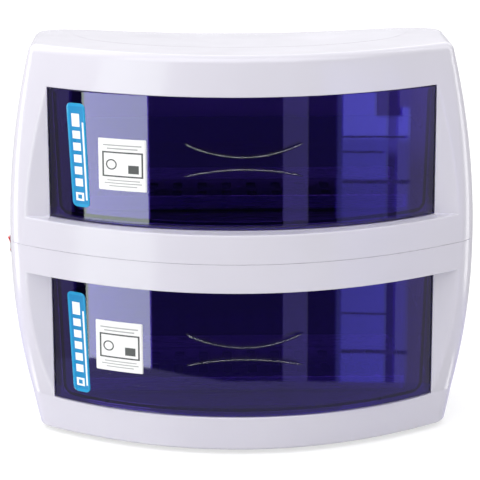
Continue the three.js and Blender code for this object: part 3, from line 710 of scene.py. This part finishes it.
def notice_film(name):
    """White vinyl card with a plain frame, a ring, a block and grey rules, no lettering."""
    g = Graph(name)
    u, v = g.film_place()
    frame_line = g.math("SUBTRACT", inside_box(g, u, v, (0.08, 0.93, 0.26, 0.75)),
                        inside_box(g, u, v, (0.115, 0.895, 0.29, 0.72)), clamp=True)
    panel = inside_box(g, u, v, (0.62, 0.84, 0.34, 0.50))
    du, dv = g.math("SUBTRACT", u, 0.27), g.math("MULTIPLY", g.math("SUBTRACT", v, 0.50), 1.1)
    away = g.math("SQRT", g.math("ADD", g.math("MULTIPLY", du, du), g.math("MULTIPLY", dv, dv)))
    disc = g.math("LESS_THAN", g.math("ABSOLUTE", g.math("SUBTRACT", away, 0.10)), 0.014)
    dark = any_of(g, [frame_line, disc, panel])
    rules = [(0.10, 0.90, 0.86, 0.885), (0.18, 0.82, 0.795, 0.82), (0.18, 0.86, 0.185, 0.205),
             (0.12, 0.90, 0.13, 0.15), (0.22, 0.80, 0.075, 0.095)]
    grey = any_of(g, [inside_box(g, u, v, rule) for rule in rules])
    paper = g.mix(g.noise(16.0, 3.0), (0.82, 0.82, 0.80), (0.86, 0.86, 0.85))
    tone = g.mix(grey, paper, (0.36, 0.36, 0.36))
    tone = g.mix(dark, tone, (0.03, 0.03, 0.03))
    normal = g.bump(g.noise(900.0, 3.0), 0.05, 0.0002)
    gloss = g.ramp(g.noise(40.0, 3.0), 0.3, 0.7, 0.42, 0.55)
    return g.finish(g.principled(Base_Color=tone, Roughness=gloss, Normal=normal))


WHITE = (0.663, 0.649, 0.71)
MOULDED = {
    # colour, roughness, grain, relief
    "back_cover": ((0.66, 0.655, 0.69), 0.45, 1600.0, 0.12),
    "coated_steel": ((0.70, 0.70, 0.72), 0.38, 500.0, 0.10),
    "foot_rubber": ((0.022, 0.022, 0.024), 0.72, 1200.0, 0.18),
    "lamp_socket": ((0.78, 0.78, 0.75), 0.42, 800.0, 0.05),
    "rail_plastic": ((0.74, 0.74, 0.77), 0.35, 800.0, 0.05),
    "ballast_case": ((0.60, 0.61, 0.63), 0.35, 500.0, 0.08),
    "wire_cover": ((0.03, 0.03, 0.033), 0.45, 1200.0, 0.10),
    "black_plastic": ((0.012, 0.012, 0.014), 0.32, 1500.0, 0.12),
}
MATERIALS = {
    "white_shell": moulded("white_shell", WHITE, 0.19, relief=0.004, wear=0.012, line=scoop_line,
                           Specular_IOR_Level=0.13, Coat_Weight=0.10, Coat_Roughness=0.08),
    **{name: moulded(name, *look) for name, look in MOULDED.items()},
    "red_plastic": moulded("red_plastic", (0.62, 0.02, 0.02), 0.22, 1200.0, 0.02, Coat_Weight=0.3),
    "screw_steel": sheet_metal("screw_steel", (0.55, 0.55, 0.57), 0.32, (20.0, 20.0, 20.0), 0.08),
    "tray_steel": sheet_metal("tray_steel", (0.60, 0.60, 0.62), 0.28),
    "polished_aluminium": sheet_metal("polished_aluminium", (0.80, 0.81, 0.83), 0.12, relief=0.02),
    "clear_blue": tinted_plastic("clear_blue", 1.0, 0.012),
    "lamp_glass": lamp_glass("lamp_glass"),
    "cyan_film": accent_film("cyan_film"),
    "white_film": notice_film("white_film"),
}

LIP_PLASTIC = tinted_plastic("clear_blue_lips", 0.08, 0.001)

# ---- Shells and drawers ----


def make_housing(level):
    bay = BAYS[level]
    columns = [(55, 165, 1.9), (152, 159, 0.8), (163, 192, 1.1)]
    xs = mirrored(ticks(0, MID_HALF_WIDTH + 3, 4.0, columns))
    front_rows = [(-DEPTH / 2 - 1, CHEEK_Y + 5, 1.0), (98, DEPTH / 2, 0.9)]
    if level == "upper":
        front_rows.append((CHEEK_Y, 52, 1.5))
        levels = [(UPPER_SEAM, UPPER_SEAM + 0.6, 0.14), (HEIGHT - 7, HEIGHT, 0.8)]
        low, high = UPPER_SEAM - 1, HEIGHT + 1
    else:
        front_rows.append((6, 18, 0.7))
        levels = [(LOWER_SEAM - 0.6, LOWER_SEAM, 0.14), (SKIRT_Z, SKIRT_Z + 3, 0.5),
                  (144, 158, 0.8)]
        low, high = SKIRT_Z - 1, LOWER_SEAM + 1
    levels += [(edge - 2, edge + 2, 0.45) for edge in (bay.floor, bay.top)]
    ys = ticks(-DEPTH / 2 - 3, DEPTH / 2 + 2, 4.0, front_rows)
    return mould(f"{level}_housing", housing_field(level), xs, ys, ticks(low, high, 3.0, levels))


def make_drawer(level):
    bay = BAYS[level]
    xs = mirrored(ticks(0, 160, 2.5, [(108, 115, 0.9), (145, 159, 0.6)]))
    ys = ticks(bay.front_y - 3, bay.back_y + 2, 3.0,
               [(bay.front_y - 2, CHEEK_Y + 2, 0.75), (70, 82, 1.5), (90, bay.back_y, 0.6)])
    floor = bay.floor
    zs = ticks(floor - 1, bay.top + 1, 3.0,
               [(floor, floor + 2, 0.3), (floor + 2, floor + 7, 0.6), (floor + 44, floor + 56, 0.6),
                (bay.top - 6, bay.top - 2.5, 0.6), (bay.top - 2, bay.top, 0.3)])
    field = drawer_field(bay)
    points, quads = surface_net(field, xs, ys, zs)
    points, normals = settle(field, points)
    moulding = len(quads)
    for end, middle in LIPS:
        lip_points, lip_quads, lip_normals = finger_lip(bay, end, middle)
        quads = np.concatenate([quads, lip_quads + len(points)])
        points = np.concatenate([points, lip_points])
        normals = np.concatenate([normals, lip_normals])
    piece = make_piece(f"{level}_drawer_surface", points, quads, f"{level}_drawer", normals)
    piece.data.materials.append(LIP_PLASTIC)
    for face in piece.data.polygons[moulding:]:
        face.material_index = 1
    return piece


for name in ("upper", "lower"):
    make_housing(name)
    make_drawer(name)

# ---- Stickers on the drawer fronts ----


ACCENT_LEAN = (4.0, 2.9)  # how far its left and right edges lean
FILM_FACES = (0.42, 0.12)  # how far the film's outer and inner face stand off the drawer


def make_sticker(node, left, right, low, high, corner, columns, rows):
    """A thin film on the drawer's curve. left and right are its edges at the bottom and top."""
    centre_y = BAYS[node.split("_")[0]].front_y + DRAWER_RADIUS

    def edges(share):
        return [bottom + (top - bottom) * share for bottom, top in (left, right)]

    heights = low + (high - low) * (1 - np.cos(np.linspace(0, math.pi, rows))) / 2
    film = []
    for z in heights:
        from_end = min(z - low, high - z, corner)
        inset = corner - math.sqrt(max(corner**2 - (corner - from_end) ** 2, 0))
        x0, x1 = edges((z - low) / (high - low))
        x0, x1 = x0 + inset, x1 - inset
        film.append([(x0 + (x1 - x0) * i / columns, z) for i in range(columns + 1)])
    points = []
    for lift in FILM_FACES:
        radius = DRAWER_RADIUS + lift
        points += [(x, centre_y - math.sqrt(radius**2 - x * x), z) for row in film for x, z in row]
    width = columns + 1
    back = rows * width
    faces = []
    for r in range(rows - 1):
        for c in range(columns):
            a = r * width + c
            ring = (a, a + 1, a + width + 1, a + width)
            faces.append(ring)
            faces.append(tuple(i + back for i in reversed(ring)))
    edge = list(range(width)) + [r * width + columns for r in range(1, rows)]
    edge += [back - 2 - c for c in range(columns)] + [r * width for r in range(rows - 2, 0, -1)]
    for a, b in zip(edge, edge[1:] + edge[:1]):
        faces.append((b, a, a + back, b + back))
    piece = make_piece(f"{node}_film", points, faces, node)
    piece.visible_glossy = False
    layer = piece.data.uv_layers.new(name="film")
    for loop in piece.data.loops:
        x, _, z = points[loop.vertex_index]
        share = (z - low) / (high - low)
        x0, x1 = edges(share)
        layer.data[loop.index].uv = ((x - x0) / (x1 - x0), share)
    return piece


for name in ("upper", "lower"):
    low, high = box_mm(f"{name}_accent_label")
    lean_left, lean_right = ACCENT_LEAN
    make_sticker(f"{name}_accent_label", (low.x + lean_left, low.x), (high.x, high.x - lean_right),
                 low.z, high.z, 4.0, 10, 48)
    low, high = box_mm(f"{name}_info_label")
    make_sticker(f"{name}_info_label", (low.x, low.x), (high.x, high.x), low.z, high.z, 0.8, 24, 24)

# ---- Small mouldings, fasteners and lamps ----


def mould_small(node, field, spacing, step_x=None):
    """Meshes a small part on an even grid round its CAD box."""
    low, high = box_mm(node)
    steps = (step_x or spacing, spacing, spacing)
    return mould(node, field, *(ticks(a - 1, b + 1, step) for a, b, step in zip(low, high, steps)))


BACK_SCREWS = [f"back_screw_{i}" for i in range(1, 7)]
BASE_SCREWS = [f"base_screw_{i}" for i in range(1, 5)]
HEAD_RADIUS = 3.0
HEAD_HEIGHT = 1.15
SHANK_RADIUS = 1.5
CROSS_HALF_WIDTH = 0.42
CROSS_REACH = 1.7
CROSS_FLOOR = 0.45
CROSS_SLOPE = 0.2


def pan_head_screw(u, v, out):
    """A domed head with a cross recess and a plain shank, out along its axis from the face."""
    r = np.hypot(u, v)
    head = round_max(r - HEAD_RADIUS, out - HEAD_HEIGHT, 1.0)
    head = round_max(head, -out, 0.1)
    near, far = np.minimum(np.abs(u), np.abs(v)), np.maximum(np.abs(u), np.abs(v))
    cross = np.maximum(near - CROSS_HALF_WIDTH, far - CROSS_REACH)
    head = cut(head, np.maximum(cross, CROSS_FLOOR - out + CROSS_SLOPE * r), 0.08)
    return head, r - SHANK_RADIUS


def make_screw(node, axis):
    low, high = box_mm(node)
    centre = (low + high) / 2

    def field(x, y, z):
        if axis == "y":
            head, shank = pan_head_screw(x - centre.x, z - centre.z, y - high.y + HEAD_HEIGHT)
            return np.minimum(head, round_max(shank, slab(y, low.y, high.y - 1), 0.4))
        head, shank = pan_head_screw(x - centre.x, y - centre.y, low.z + HEAD_HEIGHT - z)
        return np.minimum(head, round_max(shank, slab(z, low.z + 1, high.z), 0.4))

    return mould_small(node, field, 0.28)


VENT_ROW = (22.0, 12.0, 8)  # first slot, pitch, count
VENT_Z = 163.0
VENT_HALF_LENGTH = 11.0
VENT_RADIUS = 2.0
PANEL_HOLE_RADIUS = 1.8
INLET_SHOULDER = -3.0


def from_row(v, start, pitch, count):
    """Distance along a row of `count` features from the nearest one."""
    return v - start - pitch * np.clip(np.round((v - start) / pitch), 0, count - 1)


def back_panel_field(x, y, z):
    low, high = box_mm("back_panel")
    plan = round_max(slab(x, low.x, high.x), slab(z, low.z, high.z), 2.5)
    panel = round_max(plan, slab(y, low.y, high.y), 0.5)
    for place in map(middle, BACK_SCREWS):
        panel = cut(panel, np.hypot(x - place.x, z - place.z) - PANEL_HOLE_RADIUS, 0.2)
    across = from_row(x, *VENT_ROW)
    vents = np.hypot(across, np.maximum(np.abs(z - VENT_Z) - VENT_HALF_LENGTH, 0)) - VENT_RADIUS
    panel = cut(panel, vents, 0.5)
    return cut(panel, inlet_outline(x, z, 0.3, INLET_SHOULDER), 0.3)


def inlet_outline(x, z, grow, inset=0.0):
    """The power inlet's flange in plan, grown or drawn in by an amount."""
    low, high = box_mm("power_inlet")
    wide = slab(x, low.x - inset, high.x + inset)
    tall = slab(z, low.z - inset / 2, high.z + inset / 2)
    return round_max(wide, tall, 2.0) - grow


WELL_HALF_SPACING = 4.3
WELL_RADIUS = 4.7
WELL_HALF_HEIGHT = 3.4
WELL_FLOOR_Y = 99.0
INLET_PIN_RADIUS = 1.2
INLET_PIN_Y = (97.0, 109.0)


def power_inlet_field(x, y, z):
    low, high = box_mm("power_inlet")
    centre = (low + high) / 2
    panel_face = box_mm("back_panel")[1].y
    flange = round_max(inlet_outline(x, z, 0.0), slab(y, panel_face, high.y), 0.5)
    body = inlet_outline(x, z, 0.0, INLET_SHOULDER)
    body = round_max(body, slab(y, low.y, panel_face + 0.5), 0.5)
    inlet = np.minimum(flange, body)
    along = np.abs(x - centre.x) - WELL_HALF_SPACING
    off = np.hypot(along, z - centre.z)
    waist = round_max(along, np.abs(z - centre.z) - WELL_HALF_HEIGHT, 0.2)
    well = np.maximum(np.minimum(off - WELL_RADIUS, waist), WELL_FLOOR_Y - y)
    inlet = cut(inlet, well, 0.35)
    return np.minimum(inlet, round_max(off - INLET_PIN_RADIUS, slab(y, *INLET_PIN_Y), 0.6))


FOOT_RADIUS = 9.0
FOOT_FLARE = 0.2
FOOT_RING_RADIUS = 5.5


def foot_field(node):
    low, high = box_mm(node)
    centre = (low + high) / 2

    def field(x, y, z):
        r = np.hypot(x - centre.x, y - centre.y)
        foot = round_max(r - FOOT_RADIUS - FOOT_FLARE * z, z - high.z, 0.3)
        foot = round_max(foot, -z, 0.9)
        return cut(foot, np.hypot(r - FOOT_RING_RADIUS, z) - 0.7, 0.15)

    return field


SWITCH_BODY = (4.3, 6.6)  # half its width and half its height
SWITCH_WELL = (3.9, 6.4)
SWITCH_WELL_DEPTH = 5.0


def switch_body_field(x, y, z):
    low, high = box_mm("switch_body")
    face = -MID_HALF_WIDTH
    flange = block(x, y, z, (low.x, face - 0.1, low.y, high.y, low.z, high.z), 0.7)
    body = switch_box(x, y, z, face - 0.5, high.x, SWITCH_BODY, 0.4)
    well = switch_box(x, y, z, -FAR, face + SWITCH_WELL_DEPTH, SWITCH_WELL, 0.4)
    return cut(np.minimum(flange, body), well, 0.35)


ROCKER_TILT = math.radians(8)
ROCKER_PIVOT = 0.5  # in from the shell's face
ROCKER_HALF_LENGTH = 5.8
ROCKER_HALF_WIDTH = 3.6
ROCKER_FACE = 2.6
ROCKER_HOLLOW = 1.4
ROCKER_BACK = 2.8
ROCKER_BELLY = 1.3


def rocker_field(x, y, z):
    """A rocker with a hollow face, tilted about its pivot so that its top stands out."""
    centre = middle("switch_body")
    across, up = x + MID_HALF_WIDTH - ROCKER_PIVOT, z - centre.z
    u = across * math.cos(ROCKER_TILT) + up * math.sin(ROCKER_TILT)
    v = up * math.cos(ROCKER_TILT) - across * math.sin(ROCKER_TILT)
    ends = (v / ROCKER_HALF_LENGTH) ** 2
    face = -ROCKER_FACE - ROCKER_HOLLOW * ends - u
    back = u - ROCKER_BACK + ROCKER_BELLY * ends
    profile = round_max(face, np.abs(v) - ROCKER_HALF_LENGTH, 0.5)
    profile = round_max(profile, back, 0.5)
    return round_max(profile, np.abs(y - centre.y) - ROCKER_HALF_WIDTH, 0.5)


def lamp_tube_field(node):
    low, high = box_mm(node)
    centre = middle(node)

    def field(x, y, z):
        r = np.hypot(y - centre.y, z - centre.z)
        return round_max(r - (high.z - low.z) / 2, slab(x, low.x, high.x), 1.2)

    return field


CAP_X = (136.0, 144.0)
CAP_GROOVE = (8.3, 138.5)  # radius and place along the lamp
LAMP_PIN_X = (137.0, 151.0)
LAMP_PIN_RADIUS = 1.2
LAMP_PIN_HALF_SPACING = 2.4


def lamp_cap_field(node, side):
    low, high = box_mm(node)
    centre = (low + high) / 2

    def field(x, y, z):
        out = x * side
        r = np.hypot(y - centre.y, z - centre.z)
        cup = round_max(r - (high.z - low.z) / 2, slab(out, *CAP_X), 0.8)
        cup = cut(cup, np.hypot(r - CAP_GROOVE[0], out - CAP_GROOVE[1]) - 0.6, 0.3)
        pin = np.hypot(np.abs(y - centre.y) - LAMP_PIN_HALF_SPACING, z - centre.z) - LAMP_PIN_RADIUS
        return np.minimum(cup, round_max(pin, slab(out, *LAMP_PIN_X), 0.6))

    return field


TRAY_SHEET = 1.0
TRAY_ROWS = (-117.0, 21.0, 12)  # across: first slot, pitch, count
TRAY_COLUMNS = (-17.0, 39.0, 3)  # front to back
DRAIN_HALF_LENGTH = 11.0
DRAIN_RADIUS = 4.0


def tray_field(node):
    """A pressed sheet-steel tray with rounded corners and rows of drain slots."""
    low, high = box_mm(node)

    def field(x, y, z):
        tray = round_max(slab(x, low.x, high.x), slab(y, low.y, high.y), 6)
        tray = round_max(tray, low.z - z, 2)
        tray = np.maximum(tray, -(tray + TRAY_SHEET))
        tray = round_max(tray, z - high.z, 0.4)
        dx, dy = from_row(x, *TRAY_ROWS), from_row(y, *TRAY_COLUMNS)
        slot = np.hypot(dx, np.maximum(np.abs(dy) - DRAIN_HALF_LENGTH, 0)) - DRAIN_RADIUS
        return cut(tray, np.maximum(slot, z - low.z - 3), 0.3)

    return field


def make_tray(level):
    node = f"{level}_tool_tray"
    low, high = box_mm(node)
    xs, ys = (ticks(a - 1, b + 1, 1.3, [(a - 1, a + 3, 0.4), (b - 3, b + 1, 0.4)])
              for a, b in zip(low.xy, high.xy))
    zs = ticks(low.z - 1, high.z + 1, 1.0, [(low.z - 1, low.z + 2, 0.33)])
    return mould(node, tray_field(node), xs, ys, zs)


for node in BACK_SCREWS:
    make_screw(node, "y")
for node in BASE_SCREWS:
    make_screw(node, "z")
for node in [f"foot_{end}_{side}" for end in ("front", "rear") for side in ("left", "right")]:
    mould_small(node, foot_field(node), 0.6)
mould_small("switch_body", switch_body_field, 0.35)
mould_small("switch_rocker", rocker_field, 0.35)
mould_small("power_inlet", power_inlet_field, 0.45)
low, high = box_mm("back_panel")
mould("back_panel", back_panel_field, ticks(low.x - 1, high.x + 1, 1.6, [(17, 113, 0.9)]),
      ticks(low.y - 1, high.y + 1, 0.5), ticks(low.z - 1, high.z + 1, 1.6, [(148, 178, 0.9)]))
for level in ("upper", "lower"):
    make_tray(level)
    mould_small(f"{level}_lamp_tube", lamp_tube_field(f"{level}_lamp_tube"), 0.8, step_x=6.0)
    for side, name in ((-1, "left"), (1, "right")):
        node = f"{level}_{name}_lamp_cap"
        mould_small(node, lamp_cap_field(node, side), 0.5)

# ---- Every other part keeps its CAD shape ----

for node, part in frame["nodes"].items():
    if part.hide_render:
        continue
    part.data.materials.clear()
    part.data.materials.append(MATERIALS[SLOT_OF[node]])
    if node.endswith("_lead"):
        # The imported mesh's facets are not joined, so this rounds each facet on its own.
        smooth = part.modifiers.new("smooth_cord", "SUBSURF")
        smooth.levels = smooth.render_levels = 2

# ---- Studio ----


def stage_mesh(name, points, faces, material):
    """A part of the studio, not of the cabinet."""
    mesh = bpy.data.meshes.new(name)
    mesh.from_pydata(points, [], faces)
    mesh.materials.append(material)
    thing = bpy.data.objects.new(name, mesh)
    bpy.context.scene.collection.objects.link(thing)
    return thing


FLOOR_GLOW = 0.62


def pale_floor():
    """White to the camera with a faint contact shadow; a softer bounce for everything else."""
    g = Graph("pale_floor")
    tone = g.mix(g.noise(1.5, 2.0), (0.76, 0.76, 0.765), (0.78, 0.78, 0.785))
    seen_tone = g.mix(g.noise(1.5, 2.0), (0.42, 0.42, 0.422), (0.44, 0.44, 0.442))
    bounce = g.shader("BsdfDiffuse", {"Color": tone})
    seen = g.shader("BsdfDiffuse", {"Color": seen_tone})
    glow = g.shader("Emission", {"Color": (1.0, 1.0, 1.0), "Strength": FLOOR_GLOW})
    shown = g.shader("AddShader", {0: seen, 1: glow})
    camera_ray = g.add("ShaderNodeLightPath").outputs["Is Camera Ray"]
    g.finish(g.shader("MixShader", {0: camera_ray, 1: bounce, 2: shown}))
    g.owner.cycles.emission_sampling = "NONE"
    return g.owner


# What glossy faces mirror: soft boxes, a window and a table round the cabinet. Each card covers
# those before it. Angles in degrees, azimuth from the camera's side towards the right, elevation
# above the horizon.
ROOM = (0.10, 0.068, 0.37)
DARK = (0.02, 0.02, 0.03)
WINDOW = (1.27, 1.28, 4.4)
LOW_WINDOW = (0.78, 0.76, 2.7)
FRAME_BAR = (0.35, 0.32, 0.8)
TABLE = (0.66, 0.62, 1.05)
SIDE_WALL = (0.55, 0.55, 0.56)
CARDS = [
    # azimuth range, elevation range, softness, colour
    ((-180, 180), (18, 90), 12.0, (0.95, 0.95, 0.95)),
    ((-190, -98), (-30, 9), 4.0, SIDE_WALL),
    ((98, 190), (-30, 9), 4.0, SIDE_WALL),
    ((-100, -78), (-60, 60), 1.5, (0.5, 0.45, 0.75)),
    ((-78, -71.3), (-60, 60), 0.7, DARK),
    ((-40.0, 41.0), (-13.0, -10.36), 0.3, DARK),
    ((17.7, 28.6), (-60, 60), 0.6, (0.60, 0.53, 1.25)),
    ((41.5, 45.5), (-60, 40), 1.5, (0.4, 0.4, 1.2)),
    ((44.0, 66.0), (-60, 40), 0.6, WINDOW),
    ((44.0, 66.0), (-60, -9.06), 0.3, LOW_WINDOW),
    ((44.0, 78.0), (-13.0, -10.4), 0.4, (0.62, 0.58, 1.95)),
    ((66.0, 71.0), (-60, 60), 0.6, (0.70, 0.62, 2.3)),
    ((66.0, 71.0), (-60, -9.5), 0.5, (0.30, 0.24, 0.9)),
    ((71.0, 78.0), (-60, 40), 0.8, WINDOW),
    ((71.0, 78.0), (-60, -9.06), 0.5, (0.82, 0.76, 1.95)),
    ((78.0, 96.0), (-60, 60), 1.0, (0.9, 0.8, 1.7)),
    ((78.0, 96.0), (-60, -9.5), 1.5, (0.75, 0.68, 1.1)),
    ((59.8, 66.0), (-8.38, 0), 0.15, (0.70, 0.62, 1.7)),
    ((66.0, 73.2), (-8.38, 0), 0.15, (0.30, 0.22, 0.9)),
    ((71.6, 78.0), (-8.1, 0), 0.15, (0.85, 0.75, 1.9)),
    ((44.0, 76.0), (-9.05, -8.99), 0.03, FRAME_BAR),
    ((44.0, 64.0), (-9.52, -9.46), 0.03, FRAME_BAR),
    ((44.0, 78.0), (-10.48, -10.36), 0.04, FRAME_BAR),
    ((44.0, 66.0), (-14.56, -14.50), 0.03, FRAME_BAR),
    ((44.0, 78.0), (-15.77, -15.65), 0.04, FRAME_BAR),
    ((-190, 190), (9, 95), 4.0, (0.95, 0.95, 0.97)),
    ((-190, 190), (-95, -26), 4.0, (0.55, 0.55, 0.58)),
    ((-190, -98), (9, 95), 4.0, (1.6, 1.6, 1.6)),
    ((98, 190), (9, 95), 4.0, (1.6, 1.6, 1.6)),
    ((-71.3, -40.0), (-60, 60), 0.7, (5.8, 6.5, 5.9)),
    ((-126, -110), (-70, 70), 2.0, (6.0, 6.0, 6.0)),
    ((110, 126), (-70, 70), 2.0, (5.0, 5.0, 5.0)),
    ((-75, 75), (32, 82), 3.0, (8.0, 8.0, 8.3)),
]


TABLE_EDGE = (-68.0, -8.0, -15.85, -16.66)  # two azimuths, and its far edge's elevation at each
DOME_RADIUS = 600.0
DOME_RINGS = 24
DOME_SIDES = 48


def studio_dome():
    """A huge sphere, seen only in reflections, that carries the cards."""
    g = Graph("studio_dome")
    away = g.add("ShaderNodeVectorMath", {0: g.add("ShaderNodeNewGeometry").outputs["Position"]},
                 operation="NORMALIZE").outputs[0]
    axes = g.add("ShaderNodeSeparateXYZ", {0: away})
    forward = g.math("MULTIPLY", axes.outputs[1], -1.0)
    azimuth = g.math("DEGREES", g.math("ARCTAN2", axes.outputs[0], forward))
    elevation = g.math("DEGREES", g.math("ARCSINE", axes.outputs[2]))
    colour_here = g.mix(0.0, ROOM, DARK)
    for (a0, a1), (e0, e1), soft, colour in CARDS:
        mask = 1.0
        for value, low, high in ((azimuth, a0, a1), (elevation, e0, e1)):
            up = g.ramp(value, low - soft / 2, low + soft / 2, smooth=True)
            down = g.ramp(value, high - soft / 2, high + soft / 2, 1.0, 0.0, smooth=True)
            mask = g.math("MULTIPLY", g.math("MULTIPLY", up, down), mask)
        colour_here = g.mix(mask, colour_here, colour)
    table_edge = g.ramp(azimuth, *TABLE_EDGE)
    below = g.math("SUBTRACT", table_edge, elevation)
    on_table = g.math("MULTIPLY", g.ramp(below, -0.03, 0.03), g.ramp(elevation, -28.0, -24.0))
    colour_here = g.mix(on_table, colour_here, TABLE)
    g.finish(g.shader("Emission", {"Color": colour_here}))
    g.owner.cycles.emission_sampling = "NONE"
    points, faces = [], []
    for i in range(DOME_RINGS + 1):
        tilt = math.pi * i / DOME_RINGS
        height, wide = DOME_RADIUS * math.cos(tilt), DOME_RADIUS * math.sin(tilt)
        for j in range(DOME_SIDES):
            turn = 2 * math.pi * j / DOME_SIDES
            points.append((wide * math.cos(turn), wide * math.sin(turn), height))
            if i < DOME_RINGS:
                a, b = i * DOME_SIDES + j, i * DOME_SIDES + (j + 1) % DOME_SIDES
                faces.append((a, b, b + DOME_SIDES, a + DOME_SIDES))
    return stage_mesh("studio_dome", points, faces, g.owner)


LIGHT_LEAN = (-0.68, 0.18, 0.60)  # more light from the left, from behind and from above
LIGHT_COLOUR = (0.99, 0.985, 1.0)


def studio_world():
    """Soft light from all round, stronger from above and the left; plain white to the camera."""
    g = Graph("studio", bpy.data.worlds)
    direction = g.add("ShaderNodeTexCoord").outputs["Generated"]
    lean = g.add("ShaderNodeVectorMath", {0: direction, 1: LIGHT_LEAN}, operation="DOT_PRODUCT")
    level = g.math("ADD", lean.outputs["Value"], 1.0)
    soft = g.shader("Background", {"Color": LIGHT_COLOUR, "Strength": level})
    plain = g.shader("Background", {"Color": (1.0, 1.0, 1.0)})
    camera_ray = g.add("ShaderNodeLightPath").outputs["Is Camera Ray"]
    light = g.shader("MixShader", {0: camera_ray, 1: soft, 2: plain})
    world = g.finish(light, "ShaderNodeOutputWorld")
    world.cycles_visibility.glossy = False
    bpy.context.scene.world = world


FLOOR = 8.0  # half its width

studio_world()
corners = [(-FLOOR, -FLOOR, 0), (FLOOR, -FLOOR, 0), (FLOOR, FLOOR, 0), (-FLOOR, FLOOR, 0)]
floor = stage_mesh("floor", corners, [(0, 1, 2, 3)], pale_floor())
floor.visible_glossy = False
dome = studio_dome()
for ray in ("camera", "diffuse", "transmission", "shadow"):
    setattr(dome, f"visible_{ray}", False)

# ---- Camera ----

CAMERA_PLACE = (-0.0250, -1.4958, 0.4802)
LENS = 137.82
PITCH = 0.2142
YAW = 0.0171
ROLL = -0.0035

camera = bpy.data.objects.new("camera", bpy.data.cameras.new("camera"))
camera.data.lens = LENS
camera.data.sensor_width = 36.0
turn = Matrix.Rotation(-YAW, 4, "Z") @ Matrix.Rotation(math.pi / 2 - PITCH, 4, "X")
camera.matrix_world = Matrix.Translation(CAMERA_PLACE) @ turn @ Matrix.Rotation(ROLL, 4, "Z")
bpy.context.scene.collection.objects.link(camera)
bpy.context.scene.camera = camera
bpy.context.scene.view_settings.view_transform = "Standard"
